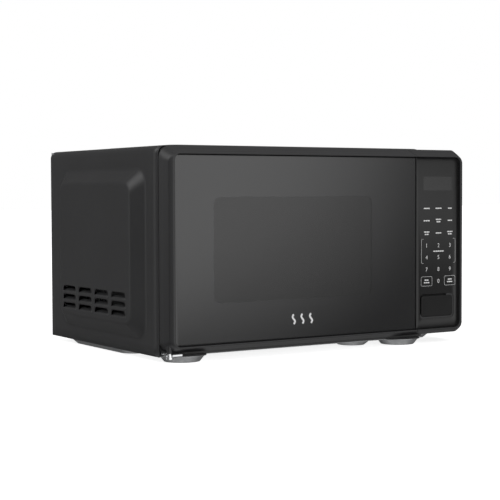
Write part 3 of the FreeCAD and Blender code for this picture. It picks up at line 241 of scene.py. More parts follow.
def block(low, high, edge=0.5):
    """A rectangular block whose edges are rounded by one small radius, as stacked loops along Y."""
    inset = np.array([edge, 0.3 * edge, 0, 0, 0.3 * edge, edge])
    depth = np.array([low[1], low[1] + 0.3 * edge, low[1] + edge,
                      high[1] - edge, high[1] - 0.3 * edge, high[1]])
    return skin(layers([inset_loop(low, high, i, edge, 2) for i in inset], depth))


def turned(profile, centre, steps=96, closed=True):
    """A profile of (radius, height) turned about a vertical axis through centre (x, y).

    The point at angle a is (x + r cos a, y + r sin a, z). A closed profile is a ring in section.
    """
    angle = np.linspace(0, 2 * np.pi, steps, endpoint=False)[:, None]
    radius, height = np.asarray(profile, float).T
    x = centre[0] + radius * np.cos(angle)
    y = centre[1] + radius * np.sin(angle)
    z = np.broadcast_to(height, x.shape)
    return skin(np.stack([x, y, z], -1), wrap_rows=True, wrap_columns=closed, ends=False)


def tube_along(path, radius, steps=8):
    """A round tube along a line of points: each point plus radius times two cross directions.

    The cross directions are square to the line and to one fixed direction.
    """
    along = np.gradient(path, axis=0)
    along /= np.linalg.norm(along, axis=1)[:, None]
    fixed = np.eye(3)[np.argmin(np.abs(along).max(0))]
    side = np.cross(along, fixed)
    side /= np.linalg.norm(side, axis=1)[:, None]
    other = np.cross(along, side)
    angle = np.linspace(0, 2 * np.pi, steps, endpoint=False)[None, :, None]
    ring = side[:, None] * np.cos(angle) + other[:, None] * np.sin(angle)
    return skin(path[:, None] + radius * ring)


def coil(start, length, axis, radius, wire, turns):
    """A wound spring: a helix of points at radius about a line, with the wire's tube around it."""
    t = np.linspace(0, 1, int(turns * 18) + 1)
    turn = 2 * np.pi * turns * t
    path = np.empty((len(t), 3))
    others = [k for k in range(3) if k != axis]
    path[:, axis] = start[axis] + wire + (length - 2 * wire) * t
    path[:, others[0]] = start[others[0]] + radius * np.cos(turn)
    path[:, others[1]] = start[others[1]] + radius * np.sin(turn)
    return tube_along(path, wire, 6)


def build(name, shells, body, slot, stands_for=(), finish=None, crease=35, wall=0.0, closed=True):
    """Makes one piece from its shells, gives it its finish and ties it to its CAD body.

    The finish is the slot's unless another one is named. Doubled points are merged. A closed
    piece has its faces turned outwards. An open one keeps its order and gets a wall, which
    grows inwards.
    """
    points, faces, count = [], [], 0
    for shell_points, shell_faces in shells:
        points.append(np.asarray(shell_points, float))
        faces += [[corner + count for corner in face] for face in shell_faces]
        count += len(shell_points)
    mesh = bpy.data.meshes.new(name)
    mesh.from_pydata((np.vstack(points) * MM).tolist(), [], faces)
    form = bmesh.new()
    form.from_mesh(mesh)
    bmesh.ops.remove_doubles(form, verts=form.verts, dist=2e-7)
    if closed:
        bmesh.ops.recalc_face_normals(form, faces=form.faces)
    form.to_mesh(mesh)
    form.free()
    mesh.shade_smooth()
    mesh.set_sharp_from_angle(angle=math.radians(crease))
    piece = bpy.data.objects.new(name, mesh)
    bpy.context.scene.collection.objects.link(piece)
    mesh.materials.append(finish_of(finish or slot))
    if wall:
        thick = piece.modifiers.new("wall", "SOLIDIFY")
        thick.thickness = wall * MM
        thick.offset = -1
    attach(piece, body)
    if stands_for:
        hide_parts(*stands_for)
    return piece


# ---------------------------------------------------------------- shader parts

def node(tree, kind, values=None, **settings):
    """A shader node with its settings and input values. A value may be another node's output."""
    made = tree.nodes.new(kind)
    for key, value in settings.items():
        setattr(made, key, value)
    for key, value in (values or {}).items():
        if isinstance(value, bpy.types.NodeSocket):
            tree.links.new(value, made.inputs[key])
        else:
            made.inputs[key].default_value = value
    return made


def maths(tree, operation, *values):
    """The result of one Math node."""
    return node(tree, "ShaderNodeMath", dict(enumerate(values)), operation=operation).outputs[0]


def blend(tree, mask, first, second):
    """The first colour where the mask is 0, the second where it is 1, and a mixture between."""
    return node(tree, "ShaderNodeMix", {0: mask, 6: first, 7: second}, data_type="RGBA").outputs[2]


def new_group(name, inputs, outputs):
    """A shader node group with named inputs and outputs. Returns its tree and its input node."""
    tree = bpy.data.node_groups.new(name, "ShaderNodeTree")
    for label, kind, value in inputs:
        socket = tree.interface.new_socket(label, in_out="INPUT", socket_type="NodeSocket" + kind)
        if value is not None:
            socket.default_value = value
    for label, kind in outputs:
        tree.interface.new_socket(label, in_out="OUTPUT", socket_type="NodeSocket" + kind)
    return tree, tree.nodes.new("NodeGroupInput")


def close_group(tree, **results):
    """Wires a group's outputs."""
    end = tree.nodes.new("NodeGroupOutput")
    for label, socket in results.items():
        tree.links.new(socket, end.inputs[label.replace("_", " ")])
    return tree


def place(tree):
    """The surface point in object space, which is the oven's own frame in metres."""
    return node(tree, "ShaderNodeTexCoord").outputs["Object"]


def noise(tree, scale, detail, **values):
    """Noise in object space."""
    return node(tree, "ShaderNodeTexNoise", {"Vector": place(tree), "Scale": scale, "Detail": detail,
                                             **values}).outputs[0]


def make_grain_group():
    """Fine pebble of paint and moulded plastic: two sizes of noise give height and roughness."""
    tree, given = new_group("fine_grain", [
        ("Grain", "Float", 900), ("Roughness", "Float", 0.5), ("Spread", "Float", 0.08),
    ], [("Roughness", "Float"), ("Height", "Float")])
    fine = noise(tree, given.outputs["Grain"], 2.0, Roughness=0.6)
    average = maths(tree, "MULTIPLY", maths(tree, "ADD", fine, noise(tree, 26.0, 3.0)), 0.5)
    centred = maths(tree, "MULTIPLY", maths(tree, "SUBTRACT", average, 0.5), given.outputs["Spread"])
    rough = maths(tree, "ADD", given.outputs["Roughness"], maths(tree, "MULTIPLY", centred, 2.0))
    return close_group(tree, Roughness=rough, Height=fine)


def make_shade_group():
    """Slow colour change over a surface: broad noise mixes a colour with its second shade."""
    tree, given = new_group("soft_shade", [
        ("Base", "Color", None), ("Shade", "Color", None), ("Scale", "Float", 9.0),
    ], [("Color", "Color")])
    level = node(tree, "ShaderNodeMapRange", {"Value": noise(tree, given.outputs["Scale"], 4.0),
                                              "From Min": 0.35, "From Max": 0.65})
    mixed = blend(tree, level.outputs[0], given.outputs["Base"], given.outputs["Shade"])
    return close_group(tree, Color=mixed)


def make_rub_group():
    """Edges rubbed a little paler: the sharpness of the surface picks out the outer edges."""
    tree, given = new_group("edge_rub", [
        ("Color", "Color", None), ("Rubbed", "Color", None), ("Amount", "Float", 0.5),
    ], [("Color", "Color"), ("Mask", "Float")])
    sharp = node(tree, "ShaderNodeNewGeometry").outputs["Pointiness"]
    level = node(tree, "ShaderNodeMapRange", {"Value": sharp, "From Min": 0.52, "From Max": 0.62})
    mask = maths(tree, "MULTIPLY", maths(tree, "MULTIPLY", level.outputs[0], noise(tree, 60.0, 3.0)),
                 given.outputs["Amount"])
    mixed = blend(tree, mask, given.outputs["Color"], given.outputs["Rubbed"])
    return close_group(tree, Color=mixed, Mask=mask)


def make_spangle_group():
    """Zinc bloom of galvanised sheet: cells of slightly different grey with soft borders."""
    tree, given = new_group("zinc_spangle", [
        ("Pale", "Color", None), ("Dark", "Color", None), ("Scale", "Float", 220.0),
        ("Roughness", "Float", 0.4),
    ], [("Color", "Color"), ("Roughness", "Float"), ("Height", "Float")])
    cells = node(tree, "ShaderNodeTexVoronoi", {"Vector": place(tree), "Scale": given.outputs["Scale"]})
    tone = node(tree, "ShaderNodeSeparateColor", {"Color": cells.outputs["Color"]}).outputs[0]
    cloud = noise(tree, 30.0, 4.0)
    level = maths(tree, "MULTIPLY", maths(tree, "ADD", tone, cloud), 0.5)
    mixed = blend(tree, level, given.outputs["Pale"], given.outputs["Dark"])
    rough = maths(tree, "ADD", given.outputs["Roughness"],
                  maths(tree, "MULTIPLY", maths(tree, "SUBTRACT", level, 0.5), 0.2))
    return close_group(tree, Color=mixed, Roughness=rough, Height=cloud)


def make_dots_group():
    """Holes of a perforated sheet in staggered rows: 1 on the metal and 0 in a hole.

    A point's x and z are divided by the pitch. Two square lattices, half a pitch apart, give
    the distance to the nearest hole's middle.
    """
    tree, given = new_group("hole_rows", [
        ("Pitch", "Float", 0.0026), ("Radius", "Float", 0.33),
    ], [("Metal", "Float")])
    at = node(tree, "ShaderNodeSeparateXYZ", {0: place(tree)})
    distances = []
    for shift in (0.0, 0.5):
        squares = []
        for axis in (0, 2):
            scaled = maths(tree, "DIVIDE", at.outputs[axis], given.outputs["Pitch"])
            part = maths(tree, "FRACT", maths(tree, "ADD", scaled, 100.0 + shift))
            squares.append(maths(tree, "POWER", maths(tree, "ABSOLUTE", maths(tree, "SUBTRACT", part, 0.5)),
                                 2.0))
        distances.append(maths(tree, "SQRT", maths(tree, "ADD", *squares)))
    nearest = maths(tree, "MINIMUM", *distances)
    edge = node(tree, "ShaderNodeMapRange", {
        "Value": nearest, "From Min": maths(tree, "SUBTRACT", given.outputs["Radius"], 0.03),
        "From Max": maths(tree, "ADD", given.outputs["Radius"], 0.03)})
    return close_group(tree, Metal=edge.outputs[0])


def make_pane_group():
    """A rounded rectangle on the front: 1 inside, 0 outside, with a soft line between.

    The distance is that of a rounded box: how far the point lies outside the box shrunk by the
    corner radius, less the radius.
    """
    tree, given = new_group("front_field", [
        ("Centre X", "Float", 0.0), ("Centre Z", "Float", 0.0), ("Half X", "Float", 0.1),
        ("Half Z", "Float", 0.1), ("Corner", "Float", 0.01), ("Soft", "Float", 0.0004),
    ], [("Inside", "Float")])
    at = node(tree, "ShaderNodeSeparateXYZ", {0: place(tree)})
    squares = []
    for axis, letter in ((0, "X"), (2, "Z")):
        away = maths(tree, "ABSOLUTE", maths(tree, "SUBTRACT", at.outputs[axis],
                                             given.outputs["Centre " + letter]))
        shrunk = maths(tree, "SUBTRACT", given.outputs["Half " + letter], given.outputs["Corner"])
        over = maths(tree, "MAXIMUM", maths(tree, "SUBTRACT", away, shrunk), 0.0)
        squares.append(maths(tree, "POWER", over, 2.0))
    distance = maths(tree, "SUBTRACT", maths(tree, "SQRT", maths(tree, "ADD", *squares)),
                     given.outputs["Corner"])
    level = node(tree, "ShaderNodeMapRange", {
        "Value": distance, "From Min": 0.0, "From Max": given.outputs["Soft"], "To Min": 1.0,
        "To Max": 0.0})
    return close_group(tree, Inside=level.outputs[0])


GROUP_MAKERS = {
    "fine_grain": make_grain_group, "soft_shade": make_shade_group, "edge_rub": make_rub_group,
    "zinc_spangle": make_spangle_group, "hole_rows": make_dots_group, "front_field": make_pane_group,
}


def grouped(tree, name, **values):
    """One of the node groups, placed in a material with its own values."""
    if name not in bpy.data.node_groups:
        GROUP_MAKERS[name]()
    return node(tree, "ShaderNodeGroup", {key.replace("_", " "): value for key, value in values.items()},
                node_tree=bpy.data.node_groups[name])


def rgba(colour, factor=1.0):
    """A colour with its alpha, made paler or darker by a factor."""
    return (*[min(channel * factor, 1.0) for channel in colour[:3]], 1.0)


def bare_material(name, **constants):
    """An empty material with a Principled shader whose constant values sit on its own sockets."""
    material = bpy.data.materials.new("finish_" + name)
    material.use_nodes = True
    tree = material.node_tree
    shader = tree.nodes["Principled BSDF"]
    for key, value in constants.items():
        shader.inputs[key.replace("_", " ")].default_value = value
    return material, tree, shader


def bumped(tree, shader, height, strength, distance=0.0002):
    """Feeds a height into the shader's normal."""
    bump = node(tree, "ShaderNodeBump", {"Height": height, "Strength": strength, "Distance": distance})
    tree.links.new(bump.outputs[0], shader.inputs["Normal"])


def surfaced(tree, shader, base, rough):
    """Feeds a colour and a roughness into the shader."""
    tree.links.new(base, shader.inputs["Base Color"])
    tree.links.new(rough, shader.inputs["Roughness"])


def field_mask(tree, low, high, grow=0.0, **values):
    """1 inside the rounded outline of a box seen from the front (millimetres), grown by grow."""
    for axis, letter in ((0, "X"), (2, "Z")):
        values["Centre_" + letter] = (low[axis] + high[axis]) / 2 * MM
        values["Half_" + letter] = ((high[axis] - low[axis]) / 2 + grow) * MM
    return grouped(tree, "front_field", **values).outputs[0]


def grained(name, colour, rough, spread=0.06, grain=900, bump=0.1, rubbed=0.25, deep=0.9, **constants):
    """Paint or plastic: slow shade, rubbed edges, and a fine grain in roughness and height."""
    material, tree, shader = bare_material(name, **constants)
    shade = grouped(tree, "soft_shade", Base=rgba(colour), Shade=rgba(colour, deep))
    rub = grouped(tree, "edge_rub", Color=shade.outputs[0], Rubbed=rgba(colour, 2.2), Amount=rubbed)
    fine = grouped(tree, "fine_grain", Grain=grain, Roughness=rough, Spread=spread)
    surfaced(tree, shader, rub.outputs["Color"], fine.outputs["Roughness"])
    bumped(tree, shader, fine.outputs["Height"], bump)
    return material


def plated(name, pale, dark, rough, scale=220, bump=0.05, metal=1.0):
    """Metal sheet with zinc bloom."""
    material, tree, shader = bare_material(name, Metallic=metal)
    bloom = grouped(tree, "zinc_spangle", Pale=rgba(pale), Dark=rgba(dark), Scale=scale,
                    Roughness=rough)
    surfaced(tree, shader, bloom.outputs["Color"], bloom.outputs["Roughness"])
    bumped(tree, shader, bloom.outputs["Height"], bump)
    return material


# ---------------------------------------------------------------- finishes

def cabinet_paint():
    """Fine-textured matt black paint on steel."""
    return grained("cabinet_paint", bpy.context.scene.oven_colours.paint, 0.38, grain=1500, bump=0.12,
                   spread=0.08)


def black_moulding():
    """Satin black moulded plastic."""
    return grained("black_moulding", bpy.context.scene.oven_colours.moulding, 0.42, grain=1200, bump=0.08)


def front_glass():
    """Float glass with a black print behind it and a smoked window inside the print."""
    sizes, colours = bpy.context.scene.oven_front, bpy.context.scene.oven_colours
    material, tree, shader = bare_material("front_glass", Coat_Weight=0.6, Coat_Roughness=0.03)
    inside = field_mask(tree, (sizes.window_left, 0, sizes.window_low),
                        (sizes.window_right, 0, sizes.window_high), Corner=sizes.window_corner * MM)
    smear = grouped(tree, "fine_grain", Grain=40, Roughness=0.16, Spread=0.05)
    mixed = blend(tree, inside, rgba(colours.glass), rgba(colours.window))
    surfaced(tree, shader, mixed, smear.outputs["Roughness"])
    solid = maths(tree, "SUBTRACT", 1.0, maths(tree, "MULTIPLY", inside, 0.22))
    tree.links.new(solid, shader.inputs["Alpha"])
    return material


def printed_sheet():
    """Satin sheet of the control panel, glossier over the clock window."""
    colours = bpy.context.scene.oven_colours
    material, tree, shader = bare_material("printed_sheet", Specular_IOR_Level=0.4)
    middle = sum(corners("display_module")) / 2
    half = np.array([CLOCK_WIDE, 0, CLOCK_TALL]) / 2
    clock = field_mask(tree, middle - half, middle + half, Corner=0.0008, Soft=0.0003)
    fine = grouped(tree, "fine_grain", Grain=1600, Roughness=0.34, Spread=0.05)
    rough = maths(tree, "SUBTRACT", fine.outputs["Roughness"], maths(tree, "MULTIPLY", clock, 0.12))
    surfaced(tree, shader, blend(tree, clock, rgba(colours.sheet), rgba(colours.sheet, 2.1)), rough)
    bumped(tree, shader, fine.outputs["Height"], 0.05, 0.0001)
    return material


def screen_steel():
    """Black painted steel, perforated in the middle of the door."""
    material, tree, shader = bare_material("screen_steel")
    fine = grouped(tree, "fine_grain", Grain=1200, Roughness=0.45)
    shade = grouped(tree, "soft_shade", Base=rgba((0.035,) * 3), Shade=rgba((0.028,) * 3))
    field = field_mask(tree, *corners("inner_film"), grow=-SCREEN_BORDER, Corner=0.006)
    metal = grouped(tree, "hole_rows").outputs[0]
    hole = maths(tree, "MULTIPLY", maths(tree, "SUBTRACT", 1.0, metal), field)
    surfaced(tree, shader, shade.outputs[0], fine.outputs["Roughness"])
    tree.links.new(maths(tree, "SUBTRACT", 1.0, hole), shader.inputs["Alpha"])
    return material


def clear(name, base, shade, rough, grain, bend=1.45, spread=0.08, bump=0.0, weight=1.0):
    """Clear glass or film: slow shade and a fine grain in roughness, with ripples if bump is set."""
    material, tree, shader = bare_material(name, Transmission_Weight=weight, IOR=bend)
    fine = grouped(tree, "fine_grain", Grain=grain, Roughness=rough, Spread=spread)
    tint = grouped(tree, "soft_shade", Base=rgba(base), Shade=rgba(shade))
    surfaced(tree, shader, tint.outputs[0], fine.outputs["Roughness"])
    if bump:
        bumped(tree, shader, fine.outputs["Height"], bump, 0.0003)
    return material


def front_enamel():
    """Light grey powder paint of the cavity, with its faint speckle, and painted shade, near black, on its
    outside.
    """
    enamel = bpy.context.scene.oven_colours.enamel
    material, tree, shader = bare_material("front_enamel")
    level = node(tree, "ShaderNodeMapRange", {"Value": noise(tree, 900.0, 2.0), "From Min": 0.56,
                                              "From Max": 0.66})
    shade = grouped(tree, "soft_shade", Base=rgba(enamel), Shade=rgba(enamel, 0.93))
    speckled = blend(tree, level.outputs[0], shade.outputs[0], rgba(enamel, 0.62))
    fine = grouped(tree, "fine_grain", Grain=700, Roughness=0.36, Spread=0.06)
    # The outside of the cavity, seen only through the louvre slots, is painted near black: painted shade for
    # the inside of the cabinet.
    inside = field_mask(tree, *corners("oven_cavity"), grow=-0.4, Corner=0.0002, Soft=0.0002)
    surfaced(tree, shader, blend(tree, inside, rgba((0.06, 0.06, 0.062)), speckled),
             fine.outputs["Roughness"])
    bumped(tree, shader, fine.outputs["Height"], 0.12)
    return material


def plate_paint():
    """The front plate: grey enamel around the mouth; beyond it, painted shade darker than the cabinet paint,
    for the seams between door and cabinet where the border shows.
    """
    colours = bpy.context.scene.oven_colours
    material, tree, shader = bare_material("plate_paint")
    inside = field_mask(tree, *corners("oven_cavity"), grow=9.0, Corner=0.012)
    fine = grouped(tree, "fine_grain", Grain=700, Roughness=0.4, Spread=0.06)
    # Beyond the mouth: painted shade, darker than the cabinet paint, for the seams where the plate shows.
    surfaced(tree, shader, blend(tree, inside, rgba(colours.paint, 0.7), rgba(colours.enamel)),
             fine.outputs["Roughness"])
    bumped(tree, shader, fine.outputs["Height"], 0.12)
    return material


def panel_print():
    """Light grey ink of the figures and signs."""
    return grained("panel_print", bpy.context.scene.oven_colours.print_grey, 0.55, rubbed=0.0, bump=0.03)


def transformer_core():
    """Varnished steel laminations with amber-brown windings above and below."""
    material, tree, shader = bare_material("transformer_core", Metallic=0.3)
    at = node(tree, "ShaderNodeSeparateXYZ", {0: place(tree)})
    leaves = maths(tree, "FRACT", maths(tree, "MULTIPLY", at.outputs[1], 1400.0))
    shade = grouped(tree, "soft_shade", Base=rgba((0.13, 0.1, 0.07)), Shade=rgba((0.06, 0.05, 0.045)))
    fine = grouped(tree, "fine_grain", Grain=400, Roughness=0.4)
    surfaced(tree, shader, shade.outputs[0], fine.outputs["Roughness"])
    bumped(tree, shader, leaves, 0.3)
    return material


# Finishes with a maker of their own.
FINISHES = {maker.__name__: maker for maker in (
    cabinet_paint, black_moulding, front_glass, printed_sheet, screen_steel, front_enamel,
    plate_paint, panel_print, transformer_core)}
# Paints and plastics: colour and roughness, then what differs from the usual.
GRAINED = {
    "membrane_foil": ((0.5, 0.53, 0.55), 0.4),
    "display_block": ((0.03, 0.03, 0.03), 0.2),
    "circuit_board": ((0.05, 0.17, 0.08), 0.35, dict(spread=0.12, deep=0.7)),
    "white_nylon": ((0.76, 0.76, 0.73), 0.38, dict(grain=700, rubbed=0.05, Subsurface_Weight=0.08,
                                                   Subsurface_Scale=0.002)),
    "switch_case": ((0.05, 0.05, 0.05), 0.45),
    "switch_plunger": ((0.6, 0.08, 0.05), 0.4),
    "black_rubber": ((0.02, 0.02, 0.02), 0.65, dict(grain=500)),
    "mica": ((0.58, 0.52, 0.38), 0.5, dict(grain=260, bump=0.2, deep=0.75)),
    "black_case": ((0.04, 0.04, 0.042), 0.5),
    "fan_plastic": ((0.42, 0.42, 0.4), 0.42),
    "lamp_ceramic": ((0.8, 0.78, 0.73), 0.28, dict(grain=300)),
    "button_plastic": ((0.009, 0.009, 0.009), 0.5, dict(bump=0.08, Specular_IOR_Level=0.22)),
}
# Metals: paler and darker colour and roughness, then what differs from the usual.
PLATED = {
    "rear_sheet": ((0.6, 0.61, 0.62), (0.46, 0.47, 0.48), 0.42),
    "bare_steel": ((0.66, 0.665, 0.67), (0.52, 0.525, 0.53), 0.36),
    "zinc_steel": ((0.84, 0.85, 0.86), (0.7, 0.71, 0.72), 0.2, dict(scale=600)),
    "screw_steel": ((0.8, 0.8, 0.8), (0.66, 0.66, 0.66), 0.22, dict(scale=800)),
    "magnetron_case": ((0.75, 0.76, 0.78), (0.62, 0.63, 0.65), 0.35),
    "capacitor_can": ((0.8, 0.8, 0.8), (0.7, 0.7, 0.7), 0.25, dict(scale=90)),
    "pan_zinc": ((0.36, 0.365, 0.37), (0.28, 0.285, 0.29), 0.4, dict(metal=0.6)),
}
# Clear pieces: colour, its second shade, roughness and grain, then what differs.
CLEAR = {
    "clear_film": ((0.85, 0.86, 0.86), (0.8, 0.81, 0.82), 0.14, 60, dict(spread=0.05)),
    "tray_glass": ((0.86, 0.93, 0.91), (0.82, 0.9, 0.88), 0.06, 300,
                   dict(bend=1.5, spread=0.04, bump=0.04)),
    "lamp_glass": ((0.9, 0.88, 0.8), (0.85, 0.82, 0.72), 0.12, 500, dict(weight=0.9)),
}
# Pieces that keep their CAD shape but not the usual finish of their slot.
OWN_FINISH = {"front_plate": "plate_paint", "base_plate": "pan_zinc"}
made_finishes = {}


def make_finish(slot):
    """A slot's material, from its own maker or from its row in a table."""
    if slot in FINISHES:
        return FINISHES[slot]()
    for maker, table in ((grained, GRAINED), (plated, PLATED), (clear, CLEAR)):
        if slot in table:
            values = list(table[slot])
            extra = values.pop() if isinstance(values[-1], dict) else {}
            return maker(slot, *values, **extra)
    raise KeyError("no finish for " + slot)


def finish_of(slot):
    """The material of a slot, made the first time it is asked for."""
    if slot not in made_finishes:
        made_finishes[slot] = make_finish(slot)
    return made_finishes[slot]


# ---------------------------------------------------------------- door and panel

CLOCK_WIDE = 46.2
CLOCK_TALL = 17.1
SCREEN_BORDER = 6.0
UPRIGHT_LEFT = 112.0
OPENING_HALF = 190.0
# Corner radii of the rim's rear edge, shoulder and brow.
DOOR_CORNERS = (14.0, 13.4, 11.5)
PANEL_CORNERS = (10.0, 9.0, 9.5)
OPENING_LOW = 38.0
OPENING_HIGH = 219.0
GLASS_CORNER = 7.2
BUTTON_CORNER = 4.0
BUTTON_GROOVE = 1.0


def rim_stations(sizes, floor_y, corners_out):
    """Section of the front's rim: depth, half width, foot, head and corner radius of each edge.

    It goes from the rear outer edge over the sloped side to the lip, down into the glass recess,
    across its floor and back along the inner opening. corners_out holds the corner radii of the
    first three.
    """
    top, foot = FRAME_HIGH[2], FRAME_LOW[2]
    back, lip = FRAME_HIGH[1], FRAME_LOW[1]
    half = sizes.front_half
    shoulder_y, brow_y = lip + 12, lip + 3.5
    return [
        (back, half, foot, top, corners_out[0]),
        (shoulder_y, half - 1.4, foot, top - 4.3, corners_out[1]),
        (brow_y, half - 4, foot + 4.2, top - 8, corners_out[2]),
        (lip, sizes.lip_half, foot + 5.6, top - 8.9, 8.6),
        (lip, sizes.recess_half, sizes.recess_low, sizes.recess_high, sizes.recess_corner),
        (floor_y, sizes.recess_half, sizes.recess_low, sizes.recess_high, sizes.recess_corner),
        (floor_y, OPENING_HALF, OPENING_LOW, OPENING_HIGH, 6.0),
        (back, OPENING_HALF, OPENING_LOW, OPENING_HIGH, 6.0),
    ]


def rim(sizes, side, seam, floor_y):
    """The rim's section carried along its C-shaped line, with both ends closed at the seam."""
    corners_out = DOOR_CORNERS if side < 0 else PANEL_CORNERS
    section = soften(rim_stations(sizes, floor_y, corners_out), 0.9, 5)
    lines = [rim_loop(side, half, seam, low, high, corner) for _, half, low, high, corner in section]
    grid = layers(lines, section[:, 0]).transpose(1, 0, 2)
    return skin(grid)


class OVEN_OT_door_frame(bpy.types.Operator):
    """Moulded surround of the door: a C-shaped rim and the upright beside the seam"""
    bl_idname = "oven.door_frame"
    bl_label = "Door surround"

    def execute(self, context):
        sizes = context.scene.oven_front
        seam = FRAME_HIGH[0]
        floor_y = GLASS_HIGH[1] + 0.05
        upright = block((UPRIGHT_LEFT, floor_y, OPENING_LOW - 4),
                        (seam - 0.05, FRAME_HIGH[1], OPENING_HIGH + 4))
        pin_low, pin_high = corners("lower_hinge_pin")
        hinge = (pin_low[:2] + pin_high[:2]) / 2
        foot = FRAME_LOW[2]
        boss = turned([(0.2, foot + 0.2), (3.3, foot + 0.2), (3.3, foot + 9), (0.2, foot + 9)], hinge, 32)
        build("door_surround", [rim(sizes, -1, seam, floor_y), upright, boss], "door", "black_moulding",
              ["door_frame"], crease=40)
        return {"FINISHED"}


class OVEN_OT_panel_frame(bpy.types.Operator):
    """Moulded surround of the control panel, with the floor under the printed sheet"""
    bl_idname = "oven.panel_frame"
    bl_label = "Panel surround"

    def execute(self, context):
        sizes = context.scene.oven_front
        seam = PANEL_LOW[0]
        floor_y = SHEET_HIGH[1] + 0.05
        around = rounded_loop(seam + 0.05, sizes.recess_half - 0.05, sizes.recess_low + 0.05,
                              sizes.recess_high - 0.05, (0.5, 7, 7, 0.5))
        hole = inset_loop(BUTTON_LOW, BUTTON_HIGH, -BUTTON_GROOVE, BUTTON_CORNER + 0.6)
        floor = skin(layers([around, hole, hole, around], [floor_y, floor_y, floor_y + 9, floor_y + 2.4]),
                     wrap_rows=True)
        web = block((seam + 0.02, floor_y + 2.2, FRAME_LOW[2] + 8),
                    (seam + 3, PANEL_LOW[1] + 20.4, FRAME_HIGH[2] - 10))
        build("panel_surround", [rim(sizes, 1, seam, floor_y), floor, web], "chassis",
              "black_moulding", ["control_panel_frame"], crease=40)
        return {"FINISHED"}


def pane(low, high, radii, edge):
    """A flat pane between two depths whose front edge is ground round by edge."""
    inset = edge * np.array([0.3, 0, 0, 0.3, 1.0])
    depth = np.array([high[1], high[1] - 0.3 * edge, low[1] + edge, low[1] + 0.3 * edge, low[1]])
    loops = [inset_loop(low, high, i, np.maximum(radii - i, 0.1)) for i in inset]
    return skin(layers(loops, depth))


class OVEN_OT_door_glass(bpy.types.Operator):
    """Front glass of the door with ground edges"""
    bl_idname = "oven.door_glass"
    bl_label = "Front glass"

    def execute(self, context):
        radii = np.array([GLASS_CORNER, 0.6, 0.6, GLASS_CORNER])
        build("front_glass_pane", [pane(GLASS_LOW, GLASS_HIGH, radii, 0.5)], "door", "front_glass",
              ["door_glass"], crease=50)
        return {"FINISHED"}


class OVEN_OT_panel_sheet(bpy.types.Operator):
    """Printed sheet of the control panel with its opening for the push button"""
    bl_idname = "oven.panel_sheet"
    bl_label = "Panel sheet"

    def execute(self, context):
        low, high = SHEET_LOW, SHEET_HIGH
        edge = 0.25
        outer = [inset_loop(low, high, i, (0.6, GLASS_CORNER, GLASS_CORNER, 0.6)) for i in (0, 0, edge)]
        grow = BUTTON_GROOVE
        hole = [inset_loop(BUTTON_LOW, BUTTON_HIGH, -g, BUTTON_CORNER + g) for g in (grow + edge, grow, grow)]
        depth = [high[1], low[1] + edge, low[1], low[1], low[1] + edge, high[1]]
        build("panel_sheet", [skin(layers(outer + hole, depth), wrap_rows=True)], "chassis",
              "printed_sheet", ["control_overlay"], crease=50)
        return {"FINISHED"}


class OVEN_OT_push_button(bpy.types.Operator):
    """Push button that opens the door: a rounded block with a slightly dished face"""
    bl_idname = "oven.push_button"
    bl_label = "Push button"

    edge: millimetres("Edge", "Softness of the face's edge", 0.9)
    dish: millimetres("Dish", "Depth of the dished face", 0.45)

    def execute(self, context):
        low, high = BUTTON_LOW, BUTTON_HIGH
        face, brim, brim_depth = low[1], 1.0, 3.4
        inset = np.array([0, 0, 0.12, 0.4, 1.0, 2.4, 4.5, 7.5, 10.5, 12.0])
        rise = np.sqrt(np.maximum(1 - (1 - np.minimum(inset / self.edge, 1)) ** 2, 0))
        dish = self.dish * np.clip((inset - 1.2) / 10, 0, 1) ** 0.6
        # From the hollow's floor to its mouth, round the body and its brim, and over the face.
        back, floor, wall = face + 11.4, face + 2.8, 2.0
        depth = np.concatenate([[floor, back, back, face + brim_depth, face + brim_depth],
                                (face + self.edge * (1 - rise) + dish)[1:]])
        inset = np.concatenate([[wall, wall, 0, 0, brim], brim + inset[1:]])
        loops = [inset_loop(low, high, i, max(BUTTON_CORNER - 0.3 * i, 0.6)) for i in inset]
        stem_left, stem_right = 151, 157
        stem = block((stem_left, floor - 0.4, 43.4), (stem_right, high[1] - 2.9, 50))
        nose = block((stem_left, high[1] - 3.4, 44.6), (stem_right, high[1], 46.6))
        build("push_button", [skin(layers(loops, depth)), stem, nose], "release_button",
              "black_moulding", ["release_button"], "button_plastic", crease=50)
        return {"FINISHED"}


# ---------------------------------------------------------------- print

LEFT_KEY, MIDDLE_KEY, RIGHT_KEY = KEY_COLUMNS = (157.0, 176.5, 195.4)
DIGIT_ROWS = ((125.2, "123"), (110.1, "456"), (94.8, "789"))
ZERO_ROW = 79.7
DIGIT_HEIGHT = 5.0
PRINT_DEPTH = 0.06
LINE = 0.3
# Key signs: middle in X, height, and the widths of the bars in a row.
SIGNS = (
    (LEFT_KEY, 172.3, (3.4, 2.6, 2.4)), (MIDDLE_KEY, 172.3, (2.2, 3.0, 3.6)),
    (RIGHT_KEY, 172.3, (2.4, 3.2)), (LEFT_KEY, 156.7, (3.0, 2.6, 3.4)),
    (RIGHT_KEY, 156.7, (4.2, 2.6)), (MIDDLE_KEY, 158.2, (3.6, 2.6, 1.6)),
    (MIDDLE_KEY, 155.2, (2.2, 3.4)), (LEFT_KEY, 142.4, (3.6, 2.6, 1.6)),
    (LEFT_KEY, 139.4, (2.2, 3.4)), (RIGHT_KEY, 142.4, (3.6, 2.6, 1.6)),
    (RIGHT_KEY, 139.4, (2.2, 3.4)), (MIDDLE_KEY, 140.9, (3.0, 2.4, 2.8)),
    (MIDDLE_KEY, 117.7, (3.2, 2.6, 3.6, 2.4, 3.4)), (LEFT_KEY, 81.3, (3.4, 2.4)),
    (LEFT_KEY, 78.1, (2.4, 3.6, 1.8)), (RIGHT_KEY, 81.3, (3.4, 2.4)),
    (RIGHT_KEY, 78.1, (2.4, 3.6, 1.8)),
)
